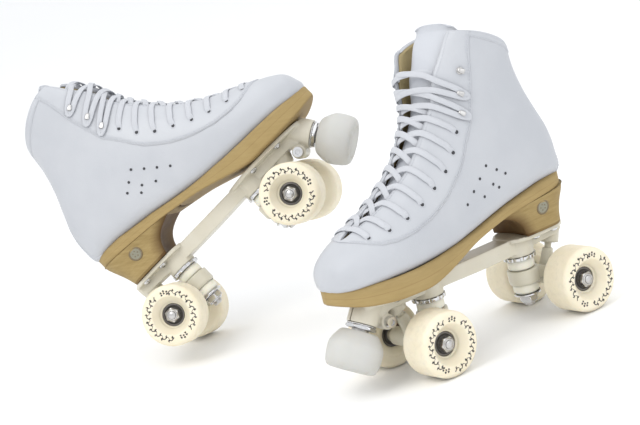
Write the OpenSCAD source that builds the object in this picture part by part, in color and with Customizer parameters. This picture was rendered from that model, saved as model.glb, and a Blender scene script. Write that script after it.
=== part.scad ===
// Pair of quad roller skates: lace-up leather boots with leather soles and
// stacked heels, bolted to plates that carry two steering trucks, four wheels
// and an adjustable toe stop each.  All sizes in millimetres, +Z up.
// Origin: on the floor under the left skate, midway between its axles.
// +X points to the left skate's toe and +Y to its outer side.
// The right skate is the left one mirrored, turned and tipped back.

/* [Wheels] */
// Wheel diameter
wheel_d = 60; // [56:1:62]
// Wheel width across the tread
wheel_w = 34; // [31:1:35]
// Distance between the front and rear axles
wheelbase = 165; // [161:1:169]
// Distance between the outer faces of a wheel pair
track_w = 118; // [117:1:120]
// Radius of the rounded tread shoulder
tread_r = 5; // [3:1:6]

/* [Bearings and axles] */
// Axle diameter
axle_d = 8; // [7:0.5:8]
// Bearing outside diameter
bearing_d = 22; // [21:0.5:22]
// Bearing width
bearing_w = 7; // [6:0.5:7]
// Radial running clearance between a bearing and its axle
run_gap = 0.04; // [0.02:0.01:0.08]

/* [Trucks] */
// Distance from the middle of the skate to each kingpin
kingpin_x = 54; // [53:0.5:55]
// Kingpin diameter
kingpin_d = 9.5; // [9:0.5:10]
// Outside diameter of the rubber cushions
cushion_d = 25; // [22:1:26]
// Outside diameter of the truck ring between the cushions
ring_d = 29; // [27:1:30]

/* [Plate] */
// Height of the plate's top face above the floor
plate_top = 79.8; // [79.8:0.1:80]
// Thickness of the mounting flanges
flange_t = 4; // [3.5:0.5:5]
// Width of the central beam
beam_w = 22; // [20:1:24]

/* [Toe stop] */
// Largest diameter of the rubber pad
pad_d = 50; // [46:1:51]
// Height of the rubber pad along its stem
pad_h = 35; // [32:1:36]
// Stem diameter
stem_d = 16; // [15:0.5:16]

/* [Boot] */
// Thickness of the leather upper
leather_t = 2.2; // [1.8:0.1:2.2]
// Thickness of the padded lining
lining_t = 2.6; // [2.2:0.1:2.6]
// Height of the tongue above the boot's rim
tongue_up = 10; // [7:1:12]

/* [Pose] */
// How far the right skate is tipped back from flat, in degrees
tip_back = 35.93; // [35.93:0.01:35.93]

/* [Hidden] */
$fn = 64;

// Per-skate settings, overridden for the right skate
$throat_open = 1;        // share of the lacing throat's full opening
$tongue_rise = 0;        // extra height of the tongue

wheel_r = wheel_d / 2;
axle_r = axle_d / 2;
axle_x = wheelbase / 2;
axle_z = wheel_r;
face_y = track_w / 2;    // outer face of a wheel
kingpin_r = kingpin_d / 2;
cushion_r = cushion_d / 2;
ring_r = ring_d / 2;
stem_r = stem_d / 2;
fit = 0.05;              // radial clearance of a hole round a fixed part

// Pose of the right skate: tipped back at its inner rear wheel
tip_axis = [0.8899, 0.4561, 0];
tip_at = [88.1, -349.2, 28.9];
tip_pivot = [-82.5, 56, 30];   // point of the upright skate that lands on tip_at
flat_yaw = 139.76;             // heading before tipping

// --- helpers -------------------------------------------------------------
function mix(a, b, t) = a + (b - a) * t;
function unit(v) = v / norm(v);
function sign_of(v) = v < 0 ? -1 : 1;
function reversed(list) = [for (i = [len(list) - 1 : -1 : 0]) list[i]];
// half outline at +Y, closed by its mirror image at -Y
function both_sides(half) = concat(half, [for (p = reversed(half)) [p[0], -p[1]]]);
// Catmull-Rom point on a list of points, u from 0 to len - 1
function curve_point(points, u) =
  let (n = len(points) - 1,
       i = min(n - 1, floor(u)),
       t = u - i,
       a = points[max(0, i - 1)],
       b = points[i],
       c = points[i + 1],
       d = points[min(n, i + 2)])
  0.5 * (2 * b + (c - a) * t + (2 * a - 5 * b + 4 * c - d) * t * t
    + (3 * b - a - 3 * c + d) * t * t * t);
function smooth(points, steps) =
  [for (i = [0 : (len(points) - 1) * steps]) curve_point(points, i / steps)];
function centroid(ring) = [for (p = ring) 1] * ring / len(ring);

module rod_y(y0, y1, r) translate([0, y0, 0]) rotate([-90, 0, 0]) cylinder(h = y1 - y0, r = r);
// hexagonal prisms, sized across their flats
module hexagon(h, flats) cylinder(h = h, d = flats / cos(30), $fn = 6);
module hexagon_y(y0, y1, flats)
  translate([0, y0, 0]) rotate([-90, 0, 0]) hexagon(y1 - y0, flats);
// profile of [distance from the axis, y] turned about the Y axis
module spin_y(profile) rotate([-90, 0, 0]) rotate_extrude() polygon(profile);
// outline of [x, z] points made into a slab centred on y = 0
module side_slab(outline, width)
  translate([0, width / 2, 0]) rotate([90, 0, 0]) linear_extrude(height = width) polygon(outline);
// closed loft through rings of equal length
module loft(rings) {
  n = len(rings[0]);
  m = len(rings);
  first_mid = n * m;
  last_mid = first_mid + 1;
  sides = [for (i = [0 : m - 2], j = [0 : n - 1])
    let (k = (j + 1) % n) each
      [[i * n + j, i * n + k, (i + 1) * n + k], [i * n + j, (i + 1) * n + k, (i + 1) * n + j]]];
  first_cap = [for (j = [0 : n - 1]) [first_mid, (j + 1) % n, j]];
  last_cap = [for (j = [0 : n - 1]) [last_mid, (m - 1) * n + j, (m - 1) * n + (j + 1) % n]];
  polyhedron(
    points = concat([for (r = rings) each r], [centroid(rings[0]), centroid(rings[m - 1])]),
    faces = concat(sides, first_cap, last_cap), convexity = 6);
}

// --- boot slices ---------------------------------------------------------
// Each row is a slice of the boot, fanned from the toe round the heel to the rim:
// bottom/back x, z; top/front x, z; half width; share of the slice where it is
// widest; squareness of its lower half and of its upper half; half gap of the
// lacing throat; sideways shift of its centre; how far the inner facing of an
// unlaced throat falls forward, sideways and down; rise of the rim at mid slice.
slices = [
 [154.5, 98,   156,  108.5, 9,   0.50, 2.2, 2.2, 0,    -4.5, 0,    0,    0,  0],
 [150.5, 97,   151,  121.5, 20,  0.42, 3.0, 2.3, 0,    -4.3, 0,    0,    0,  0],
 [142,   96,   141.5,129.5, 28,  0.38, 3.6, 2.3, 0,    -4,   0,    0,    0,  0],
 [129,   96,   127,  137.5, 34.5,0.36, 4.0, 2.2, 0,    -3.2, 0,    0,    0,  0],
 [110,   96,   109,  146,   39,  0.34, 4.2, 2.1, 7,    -2,   0,    0,    0,  0],
 [ 85,   96.5,  88.5,156,   41,  0.32, 4.2, 2.1, 10,   -0.5, 0,    0,    0,  0],
 [ 60,   98,    70,  168,   40.5,0.31, 4.2, 2.2, 12,    0.5, 0,    0,    0,  0],
 [ 34,  101,    53.5,181,   38.5,0.30, 4.2, 2.3, 13,    1,   1.5,  1,    0,  0],
 [  3,  107,    39,  196.5, 36,  0.31, 4.2, 2.3, 13,    0.5, 3.5,  2.3,  0,  0],
 [-33,  114.5,  26.5,212,   34.5,0.33, 4.0, 2.3, 13,    0,   6.5,  4.5,  0,  0],
 [-74,  120.5,  18.5,223.5, 34,  0.38, 3.6, 2.3, 13,    0,   9.5,  7,    0,  0],
 [-108, 123,    13.5,233.5, 33,  0.42, 2.8, 2.3, 13,    0,   12.5, 9,    0,  0],
 [-113, 141.5,  10.5,242,   32,  0.43, 2.4, 2.3, 13,    0,   15,   11,   0,  0],
 [-110, 162,     5.5,252,   31.5,0.44, 2.3, 2.3, 13,    0,   18,   13.5, 0,  0],
 [-102, 182,    -2.5,261,   31,  0.46, 2.2, 2.3, 13,    0,   21,   15.5, 1,  0],
 [-93,  203,    -9,  269,   31.5,0.48, 2.2, 2.3, 13.5,  0,   24,   18,   3,  0.5],
 [-86,  226,   -15,  276.5, 32.5,0.50, 2.2, 2.3, 14,    0,   26,   19.5, 7,  2],
 [-83,  248,   -21,  282.5, 33.5,0.50, 2.2, 2.3, 14.5,  0,   26,   20,   14, 5]];
// column numbers of the table
BACK_X = 0;
BACK_Z = 1;
FRONT_X = 2;
FRONT_Z = 3;
HALF_W = 4;
WIDEST = 5;
SQUARE_LOW = 6;
SQUARE_HIGH = 7;
GAP = 8;
SHIFT = 9;
FALL_X = 10;
FALL_Y = 11;
FALL_Z = 12;
RISE = 13;

rim = len(slices) - 1;
vamp = 3;                        // last slice that is closed over the foot
toe_back = [1.15, 0.9, 0.6, 0.25];
// toe slices move back by this share of their depth, so inner layers stay inside
function back(i) = i < len(toe_back) ? toe_back[i] : 0;
function slice_at(u) = let (i = min(rim - 1, floor(u))) mix(slices[i], slices[i + 1], u - i);

// Point on a slice: depth is below the outer skin, angle is 0 at the sole centre
// and 180 at the instep centre, side is 1 or -1.  share is the part of the throat's
// opening that the point follows; by default only the inner side follows it.
function slice_point(row, depth, angle, side, toe = 0, share = -1) =
  let (start = [row[BACK_X], 0, row[BACK_Z]],
       end = [row[FRONT_X], 0, row[FRONT_Z]],
       full = norm(end - start),
       along = (end - start) / full,
       inset = max(full - 2 * depth, 3),
       half = max(row[HALF_W] - depth, 2),
       widest = row[WIDEST],
       power = 2 / row[angle < 90 ? SQUARE_LOW : SQUARE_HIGH],
       s = angle < 90
         ? widest * (1 - pow(max(cos(angle), 0), power))
         : widest + (1 - widest) * pow(max(-cos(angle), 0), power),
       y = angle <= 0 || angle >= 180 ? 0 : half * pow(sin(angle), power),
       follow = share >= 0 ? share : side < 0 ? 1 : 0,
       fall = s <= widest ? 0
         : pow((s - widest) / (1 - widest), 2) * follow * $throat_open)
  start + along * ((full - inset) / 2 + s * inset)
    + [fall * row[FALL_X] - toe * depth,
       row[SHIFT] + side * y - fall * row[FALL_Y],
       4 * row[RISE] * s * (1 - s) - fall * row[FALL_Z]];
// share of the opening carried by the tongue and laces at y across the throat
function open_at(row, y) = min(1, max(0, (row[GAP] - y) / (2 * row[GAP])));
// slice angle at which the surface is y from the centre, on the upper half
function top_angle(row, depth, y) =
  180 - asin(min(1, pow(y / (row[HALF_W] - depth), row[SQUARE_HIGH] / 2)));

// --- boot ----------------------------------------------------------------
lining_gap = 0.6;                            // between leather and lining
lining_outer = leather_t + lining_gap;
lining_inner = lining_outer + lining_t;
inside = lining_inner + 0.3;                 // depth just clear of the lining
half_faces = 11;                             // faces round each half slice

function shell_ring(i, depth) =
  let (row = slices[i],
       edge = row[GAP] > 0 ? top_angle(row, depth, row[GAP]) : 180)
  [for (j = [-half_faces : half_faces])
    slice_point(row, depth, edge * pow(abs(j) / half_faces, 0.9), sign_of(j), back(i))];

// shell of the boot between two depths, open along the throat and at the rim
module boot_shell(outer, inner) {
  last = 2 * half_faces;                     // index of a slice's second edge
  count = last + 1;
  layer = (rim + 1) * count - (vamp + 1);    // points in one skin
  // the two edges of a closed slice are one vertex, so its last point is left out
  function skin_points(depth) = [for (i = [0 : rim])
    let (ring = shell_ring(i, depth))
    for (j = [0 : i <= vamp ? last - 1 : last]) ring[j]];
  function id(skin, i, j) =
    skin * layer + i * count - min(i, vamp + 1) + (i <= vamp && j == last ? 0 : j);
  function toe_tip(depth, forward) =
    let (ring = shell_ring(0, depth)) (ring[0] + ring[half_faces]) / 2 + [forward, 0, 0];
  outer_tip = 2 * layer;
  inner_tip = outer_tip + 1;

  outer_skin = [for (i = [0 : rim - 1], j = [0 : last - 1]) each [
    [id(0, i, j), id(0, i, j + 1), id(0, i + 1, j + 1)],
    [id(0, i, j), id(0, i + 1, j + 1), id(0, i + 1, j)]]];
  inner_skin = [for (i = [0 : rim - 1], j = [0 : last - 1]) each [
    [id(1, i, j), id(1, i + 1, j + 1), id(1, i, j + 1)],
    [id(1, i, j), id(1, i + 1, j), id(1, i + 1, j + 1)]]];
  throat_edges = [for (i = [vamp : rim - 1]) each [
    [id(0, i, 0), id(0, i + 1, 0), id(1, i + 1, 0)],
    [id(0, i, 0), id(1, i + 1, 0), id(1, i, 0)],
    [id(0, i, last), id(1, i + 1, last), id(0, i + 1, last)],
    [id(0, i, last), id(1, i, last), id(1, i + 1, last)]]];
  rim_edge = [for (j = [0 : last - 1]) each [
    [id(0, rim, j), id(0, rim, j + 1), id(1, rim, j + 1)],
    [id(0, rim, j), id(1, rim, j + 1), id(1, rim, j)]]];
  toe_caps = [for (j = [0 : last - 1]) each [
    [outer_tip, id(0, 0, j + 1), id(0, 0, j)],
    [inner_tip, id(1, 0, j), id(1, 0, j + 1)]]];
  polyhedron(
    points = concat(skin_points(outer), skin_points(inner),
      [toe_tip(outer, 1.5), toe_tip(inner, 0.8)]),
    faces = concat(outer_skin, inner_skin, throat_edges, rim_edge, toe_caps),
    convexity = 8);
}

module boot_upper() color([0.95, 0.95, 0.96]) boot_shell(0, leather_t);
module boot_lining() color([0.78, 0.67, 0.50]) boot_shell(lining_outer, lining_inner);

// footbed resting in the bottom of the lining
insole_edge = 50;                // slice angle of its edges
module insole() color([0.72, 0.60, 0.42])
  loft([for (i = [2 : 10]) [for (j = [-6 : 6])
    slice_point(slices[i], inside + 0.5, insole_edge * abs(j) / 6, sign_of(j), back(i))]]);

// Padded tongue under the facings, rising above the rim
tongue_lap = 7;                  // reach under each facing
tongue_follow = 0.62;            // share of the throat's movement it takes up
// the free top of the tongue: share of its height, depth below the skin, thickness
tongue_top = [[0.35, inside + 0.2, 3.4], [0.7, inside - 2, 4], [1, inside - 3.6, 3.6]];
function tongue_arc(row, depth, half) = [for (j = [-4 : 4])
  slice_point(row, depth, top_angle(row, depth, max(half * abs(j) / 4, 0.01)), sign_of(j),
    0, tongue_follow * open_at(row, half * j / 4))];
function tongue_ring(row, half, depth, thickness) =
  concat(tongue_arc(row, depth + thickness, half), reversed(tongue_arc(row, depth, half)));
// a slice without the drop and the arch of the rim: the tongue stands straight
function straight(row) = [for (i = [0 : RISE]) i >= FALL_Z ? 0 : row[i]];
module tongue() color([0.93, 0.93, 0.94]) {
  top = slices[rim];
  below = slices[rim - 1];
  up = unit([top[FRONT_X] - below[FRONT_X], 0, top[FRONT_Z] - below[FRONT_Z]]);
  loft(concat(
    [for (i = [vamp + 1 : rim])
      let (row = i > 15 ? straight(slices[i]) : slices[i])
      tongue_ring(row, row[GAP] + tongue_lap, inside + 0.5, 3)],
    [for (t = tongue_top)
      let (half = top[GAP] + tongue_lap - 3 * pow(t[0], 3))
      [for (p = tongue_ring(straight(top), half, t[1], t[2]))
        p + up * (tongue_up + $tongue_rise) * t[0]]]));
}

// --- lacing --------------------------------------------------------------
// position along the slices and distance from the slice centre,
// eyelets from the ankle down to the vamp, hooks from the rim down
eyelets = [[9.64, 28], [8.79, 30.1], [8.02, 31.7], [7.17, 33], [6.27, 34.2], [5.40, 33.6],
  [4.53, 30.9], [3.68, 24]];
hooks = [[13.9, 24.4], [12.29, 24.9], [10.78, 26.3]];
hardware_lift = 0.6;             // above the leather
lace_r = 1.4;
lace_lift = 1.6;                 // clear height under a lace
lace_flatten = 1.3;              // lace width over its thickness
eyelet_inset = 4.6;              // from an eyelet's centre to the lace's end
hook_inset = 5.4;                // the same at a hook

function skin(u, y) =
  let (row = slice_at(u))
  slice_point(row, 0, top_angle(row, 0, max(abs(y), 0.05)), sign_of(y),
    0, row[GAP] > 0 ? open_at(row, y) : 0);
function skin_normal(u, y) =
  let (p = skin(u, y)) unit(cross(skin(u, y + 1) - p, skin(u + 0.1, y) - p));
module on_skin(u, y) {
  n = skin_normal(u, y);
  translate(skin(u, y) + n * hardware_lift)
    rotate([0, acos(n[2]), atan2(n[1], n[0])]) children();
}
module eyelet() difference() {
  cylinder(h = 0.6, r = 2.6, $fn = 32);
  translate([0, 0, -1]) cylinder(h = 3, r = 1.4, $fn = 32);
}
module hook() {
  cylinder(h = 0.7, r = 3.4, $fn = 32);
  cylinder(h = 4.6, r = 1.3, $fn = 32);
  translate([0, 0, 4]) cylinder(h = 0.9, r = 3.2, $fn = 32);
}
module lace_hardware() color([0.62, 0.62, 0.64]) for (side = [-1, 1]) {
  for (e = eyelets) on_skin(e[0], side * e[1]) eyelet();
  for (h = hooks) on_skin(h[0], side * h[1]) hook();
}
// one lace run across the throat at u, ending half_span from the centre
module lace_run(u, half_span) {
  path = [for (j = [-6 : 6])
    let (y = j == 0 ? 0.05 : j / 6 * half_span)
    skin(u, y) + skin_normal(u, y) * (lace_r + lace_lift)];
  loft([for (j = [0 : 12])
    let (tangent = unit(path[min(12, j + 1)] - path[max(0, j - 1)]),
         thick = unit(cross(tangent, [1, 0, 0.01])),
         wide = cross(tangent, thick))
    [for (k = [0 : 5])
      path[j] + lace_r * (cos(60 * k) * thick - sin(60 * k) * wide * lace_flatten)]]);
}
module laces() color([0.97, 0.97, 0.97]) {
  for (e = eyelets) lace_run(e[0], e[1] - eyelet_inset);
  for (h = hooks) lace_run(h[0], h[1] - hook_inset);
}

// --- sole and heel -------------------------------------------------------
// half plan of the sole from heel to toe: x, half width
sole_half = smooth([[-111.5, 0], [-108.5, 11], [-102, 20], [-92, 25.8], [-78, 28.3],
  [-55, 29.3], [-28, 30.5], [0, 33], [30, 38], [58, 42.5], [82, 44.5], [104, 43.5],
  [122, 38.3], [136.5, 30], [148, 19], [154.5, 8], [156.8, 0]], 3);
// sideways shift of the sole's centreline, bending inward towards the toe
function sole_shift(x) = x < 40
  ? 0.8 * max(0, 1 - (40 - x) / 60)
  : 0.8 - 5.3 * pow((x - 40) / 119, 1.6);
sole_plan = concat(
  [for (p = sole_half) [p[0], sole_shift(p[0]) + p[1]]],
  [for (i = [len(sole_half) - 2 : -1 : 1])
    let (p = sole_half[i]) [p[0], sole_shift(p[0]) - p[1]]]);
// side outline: x, z of the upper's underside and of the sole's underside
seat = [for (i = [0 : 11]) [slices[i][BACK_X], slices[i][BACK_Z] - 0.4]];
sole_under = smooth([[-114, 115], [-86, 112.4], [-58, 110], [-31, 107], [-4, 102], [15, 98],
  [33, 92.5], [58, 84.5], [76, 80.5], [94, 80.2], [112, 80.2], [136, 82], [150, 85.5],
  [159, 89]], 3);
sole_side = concat([[-114, 122.6]], reversed(seat), [[160, 97.4]], reversed(sole_under));
block_w = 120;                   // wider than any part of the sole
module outsole() color([0.71, 0.60, 0.42]) intersection() {
  translate([0, 0, 70]) linear_extrude(height = 60) polygon(sole_plan);
  side_slab(sole_side, block_w);
}

// levels of the stacked heel: z, back x, front x, half width
heel_levels = [[80, -98.6, -50, 26.2], [85, -99.8, -49, 25.3], [91, -101.6, -46.5, 24.9],
  [96.5, -103.6, -42, 25.2], [101, -105.4, -35, 26], [104.5, -106.9, -26, 27],
  [107.5, -108, -16, 28], [111, -109.3, -9, 28.6], [118, -111, -6, 28.8]];
heel_round_x = -80;              // where the rounded back begins
// hollowed front of the heel: distance behind the front x, share of the half width
heel_breast = [[0, 0.97], [3, 0.5], [4, 0], [3, -0.5], [0, -0.97]];
function heel_ring(z, back_x, front_x, half) = concat(
  [for (a = [-90 : 15 : 90]) [
    heel_round_x - (heel_round_x - back_x) * pow(max(cos(a), 0), 0.8),
    half * sign_of(a) * pow(abs(sin(a)), 0.8),
    z]],
  [for (b = heel_breast) [front_x - b[0], half * b[1], z]]);
module heel() color([0.70, 0.58, 0.40]) intersection() {
  loft([for (h = heel_levels) heel_ring(h[0], h[1], h[2], h[3])]);
  side_slab(concat([[-120, 79], [-120, 115.2]],
    [for (p = sole_under) if (p[0] < 0) [p[0], p[1] - 0.25]], [[0, 79]]), block_w);
}

// --- plate ---------------------------------------------------------------
ball_at = [90.5, 0, 61];             // centre of the front truck's pivot ball
ball_r = 4.2;
cup_r = 6.8;
pivot_lean = atan2(7.5, 19);         // pivot pin's lean from vertical
stop_at = [129.5, 0, 61];            // where the toe stop's stem leaves the plate
stop_lean = 180 - atan2(0.564, 0.826);
clamp_at = [110, 0, 57];             // middle of the toe stop's clamp screw
clamp_r = 3;
screw_r = 2.5;
// outlines of the plate: x, z of the beam's lower edge; x, y of half of each flange
beam_under = [[-99.5, 79], [-99.5, 71], [-96, 67.5], [-70, 66], [-40, 64], [0, 64], [40, 65],
  [70, 66], [104, 66], [112, 62], [120, 66], [126, 76]];
rear_flange = both_sides([[-100, 11], [-97, 17], [-90, 21.5], [-70, 23], [-52, 22.5],
  [-44, 19], [-38, 13]]);
front_flange = both_sides([[34, 11], [46, 20], [58, 27], [74, 30], [92, 29.5], [108, 26],
  [121, 20], [129, 12]]);
screw_xy = [for (p = [[-86, 16.4], [-63.5, 17.6], [67, 20], [100, 19]], side = [1, -1])
  [p[0], side * p[1]]];

module both_ends() {
  children();
  mirror([1, 0, 0]) children();
}
module at_kingpin(z) translate([kingpin_x, 0, z]) children();
// frame of the pivot, z up along its pin
module at_pivot() translate(ball_at) rotate([0, pivot_lean, 0]) children();
// frame of the toe stop, z forward and down along its stem
module at_stop() translate(stop_at) rotate([0, stop_lean, 0]) children();
// block that ends just under the plate's top face
module under_top(x, z, length)
  translate([x, -20, z]) cube([length, 40, plate_top - 0.5 - z]);

module plate_body() {
  for (flange = [rear_flange, front_flange])
    translate([0, 0, plate_top - flange_t]) linear_extrude(height = flange_t) polygon(flange);
  side_slab(concat(beam_under, [[126, plate_top - 1], [-99.5, plate_top - 1]]), beam_w);
  // kingpin bosses and pivot sockets
  both_ends() {
    at_kingpin(60.4) cylinder(h = 17, r = 14.5);
    intersection() {
      at_pivot() translate([0, 0, -1.5]) cylinder(h = 24, r = 9.4);
      under_top(60, 50, 42);
    }
  }
  // socket for the toe stop, with its clamp ear
  intersection() {
    at_stop() translate([0, 0, -30]) cylinder(h = 30, r = 14);
    under_top(100, 40, 60);
  }
  translate(clamp_at) rod_y(-12.5, 12.5, 7);
}
module plate() color([0.86, 0.84, 0.75]) difference() {
  plate_body();
  both_ends() {
    at_kingpin(40) cylinder(h = 36, r = kingpin_r + fit);
    at_pivot() translate([0, 0, -6]) cylinder(h = 13.6, r = cup_r + fit);
  }
  // stem hole and the slot that splits the socket
  at_stop() translate([0, 0, -21]) cylinder(h = 30, r = stem_r + fit);
  at_stop() translate([-16, -0.75, -18]) cube([14, 1.5, 22]);
  translate(clamp_at) rod_y(-20, 20, clamp_r + fit);
  for (p = screw_xy) translate([p[0], p[1], 60]) cylinder(h = 30, r = screw_r + fit);
}

module dome_head(r, h) intersection() {
  cylinder(h = h, r = r);
  translate([0, 0, h - r * 1.3]) sphere(r = r * 1.3);
}
// sole bolt with its socketed head hanging under the flange
module sole_bolt() {
  mirror([0, 0, 1]) difference() {
    dome_head(4.4, 3);
    translate([0, 0, 1.4]) cylinder(h = 4, d = 4, $fn = 6);
  }
  translate([0, 0, -0.5]) cylinder(h = flange_t + 0.4, r = screw_r);
}
// clamp screw with its head on the outer side and its nut on the inner side
module clamp_screw() {
  rod_y(-12.6, 17, clamp_r);
  difference() {
    rod_y(12.65, 18, 5);
    hexagon_y(15, 20, 5);
  }
  hexagon_y(-17, -12.6, 9);
}
module plate_screws() color([0.66, 0.66, 0.68]) {
  for (p = screw_xy) translate([p[0], p[1], plate_top - flange_t - 0.1]) sole_bolt();
  translate(clamp_at) clamp_screw();
}

// --- kingpins and cushions -------------------------------------------------
// bottom heights of the parts stacked on a kingpin
kingpin_z = 12;
nut_z = 14.5;
lower_retainer_z = 21.7;
lower_cushion_z = 24;
ring_z = 35;
upper_cushion_z = 47.1;
upper_retainer_z = 57;

module kingpins() color([0.62, 0.62, 0.64]) both_ends() at_kingpin(kingpin_z) {
  cylinder(h = 63, r = kingpin_r);
  mirror([0, 0, 1]) cylinder(h = 1, r1 = kingpin_r, r2 = kingpin_r - 1);
}
module kingpin_nuts() color([0.58, 0.58, 0.6]) both_ends() at_kingpin(nut_z) difference() {
  // hexagon with its lower corners chamfered
  intersection() {
    hexagon(7, 16);
    cylinder(h = 7, r1 = 8.2, r2 = 12);
  }
  translate([0, 0, -1]) cylinder(h = 10, r = kingpin_r + fit);
}
// castellated washers above and plain cups below the cushions
module cushion_retainers() color([0.6, 0.6, 0.62]) both_ends() at_kingpin(0) difference() {
  union() {
    translate([0, 0, upper_retainer_z]) cylinder(h = 3.2, r = 15.5);
    translate([0, 0, lower_retainer_z]) cylinder(h = 2.2, r = 12.5);
  }
  translate([0, 0, 10]) cylinder(h = 60, r = kingpin_r + fit);
  for (a = [0 : 30 : 330]) rotate([0, 0, a]) translate([14.3, -1.4, 55]) cube([4, 2.8, 10]);
}
// cushion profiles: radius, height
upper_cushion = [[0, 0], [cushion_r - 1.5, 0], [cushion_r, 2], [cushion_r, 7],
  [cushion_r - 1, 9.8], [0, 9.8]];
lower_cushion = [[0, 0], [cushion_r - 2.5, 0], [cushion_r - 0.5, 3], [cushion_r - 0.5, 9],
  [cushion_r - 2, 10.9], [0, 10.9]];
module cushions() color([0.93, 0.92, 0.86]) both_ends() at_kingpin(0) difference() {
  union() {
    translate([0, 0, upper_cushion_z]) rotate_extrude() polygon(upper_cushion);
    translate([0, 0, lower_cushion_z]) rotate_extrude() polygon(lower_cushion);
  }
  translate([0, 0, 10]) cylinder(h = 60, r = kingpin_r + 0.1);
}
module pivot_cups() color([0.88, 0.86, 0.8]) both_ends() at_pivot() difference() {
  seat_r = ball_r + 0.06;
  translate([0, 0, -2]) cylinder(h = 9.5, r = cup_r);
  sphere(r = seat_r);
  translate([0, 0, -3]) cylinder(h = 3, r1 = ball_r + 2, r2 = seat_r);
}

// --- toe stop ------------------------------------------------------------
pad_start = 7;                       // along the stem
pad_r = pad_d / 2;
// pad profile: radius, distance along the stem
pad_side = smooth([[pad_r - 8, 0.8], [pad_r - 3, 7], [pad_r - 0.3, 14], [pad_r, 19],
  [pad_r - 0.6, 26], [pad_r - 2.2, pad_h - 3.2], [pad_r - 5.5, pad_h]], 4);
module toe_stop_pad() color([0.88, 0.88, 0.86])
  at_stop() translate([0, 0, pad_start]) difference() {
    rotate_extrude() polygon(concat([[0, 0], [pad_r - 9.5, 0]], pad_side, [[0, pad_h]]));
    translate([0, 0, -1]) cylinder(h = 23.1, r = stem_r + fit);
  }
module toe_stop_stem() color([0.62, 0.62, 0.64]) at_stop() {
  translate([0, 0, -16]) cylinder(h = 1, r1 = stem_r - 1, r2 = stem_r);
  translate([0, 0, -15]) cylinder(h = 44, r = stem_r);
}
// round washer face with a hexagon nut on it
module toe_stop_locknut() color([0.6, 0.6, 0.62])
  at_stop() translate([0, 0, 0.3]) difference() {
    washer_t = 1.2;
    union() {
      cylinder(h = washer_t, r = 13);
      translate([0, 0, washer_t]) hexagon(3.8, 24);
    }
    translate([0, 0, -1]) cylinder(h = 8, r = stem_r + fit);
  }

// --- trucks, drawn at the front --------------------------------------------
// side outline of the web from ring to barrel: x, z
web_side = [[kingpin_x + 8, 45], [kingpin_x + 16, 45], [axle_x - 4, 40], [axle_x + 4, 38],
  [axle_x + 6, 24], [axle_x - 6, 23], [kingpin_x + 15, 33.5], [kingpin_x + 8, 34]];
module at_axle() translate([axle_x, 0, axle_z]) children();
// neck and ball of the pivot pin
module pivot_pin() at_pivot() {
  translate([0, 0, -27]) cylinder(h = 20, r1 = 7.5, r2 = 4.8);
  translate([0, 0, -8]) cylinder(h = 5, r = 3.2);
  sphere(r = ball_r);
  translate([0, 0, -4]) cylinder(h = 4, r = 3.2);
}
// hanger: ring round the kingpin, barrel for the axle, and a pivot pin
module truck() color([0.86, 0.84, 0.75]) difference() {
  union() {
    at_kingpin(ring_z) cylinder(h = 12, r = ring_r);
    at_kingpin(ring_z - 2) cylinder(h = 2.01, r1 = ring_r - 1.2, r2 = ring_r);
    at_axle() {
      rod_y(-22, 22, 8.5);
      rod_y(-28.9, 28.9, 6);
    }
    side_slab(web_side, 18);
    pivot_pin();
  }
  at_kingpin(20) cylinder(h = 40, r = 7.2);
  // seat of the lower cushion
  at_kingpin(32) cylinder(h = 2.95, r = min(cushion_r + 0.2, ring_r - 1));
  at_axle() rod_y(-40, 40, axle_r + 0.02);
}
// axle rod with a washer and lock nut at each end
module axle() color([0.66, 0.66, 0.68]) at_axle() {
  nut_y = face_y - 8.9;
  rod_y(-(face_y - 3), face_y - 3, axle_r);
  for (s = [0, 1]) mirror([0, s, 0]) difference() {
    union() {
      rod_y(nut_y - 1, nut_y, 6.2);
      hexagon_y(nut_y, face_y - 3.6, 12.7);
    }
    rod_y(face_y - 12, face_y, axle_r + 0.03);
  }
}

// --- wheels, drawn at the front outer corner -------------------------------
bearing_r = bearing_d / 2;
pocket_r = bearing_r + 0.03;         // bearing pocket in the hub
land_r = bearing_r - 2;              // hub bore between the bearings
inner_y = face_y - wheel_w;          // inner face of the wheel
outer_bearing_y = face_y - 10;       // outer bearing's outer face
inner_bearing_y = inner_y + 4;       // inner bearing's inner face
shoulder_r = wheel_r - tread_r;      // where the tread shoulders are centred
// profile about the axle: distance out, distance along the axle
wheel_profile = concat(
  [[pocket_r, inner_bearing_y - 0.1], [bearing_r + 1.4, inner_bearing_y - 1.2],
   [bearing_r + 3.5, inner_y + 1.4], [bearing_r + 6, inner_y]],
  [for (a = [-90 : 15 : 0])
    [shoulder_r + tread_r * cos(a), inner_y + tread_r + tread_r * sin(a)]],
  [for (a = [0 : 15 : 75])
    [shoulder_r + tread_r * cos(a), face_y - tread_r + tread_r * sin(a)]],
  [[shoulder_r - 1, face_y], [19.4, face_y - 0.15], [18.2, face_y - 0.8],
   [13.2, face_y - 7.6], [bearing_r + 1.3, outer_bearing_y + 0.4],
   [pocket_r, outer_bearing_y + 0.2],
   [pocket_r, outer_bearing_y - bearing_w - 0.1], [land_r, outer_bearing_y - bearing_w - 0.1],
   [land_r, inner_bearing_y + bearing_w + 0.1], [pocket_r, inner_bearing_y + bearing_w + 0.1]]);
module wheel() color([0.91, 0.88, 0.78]) at_axle() spin_y(wheel_profile);

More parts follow.
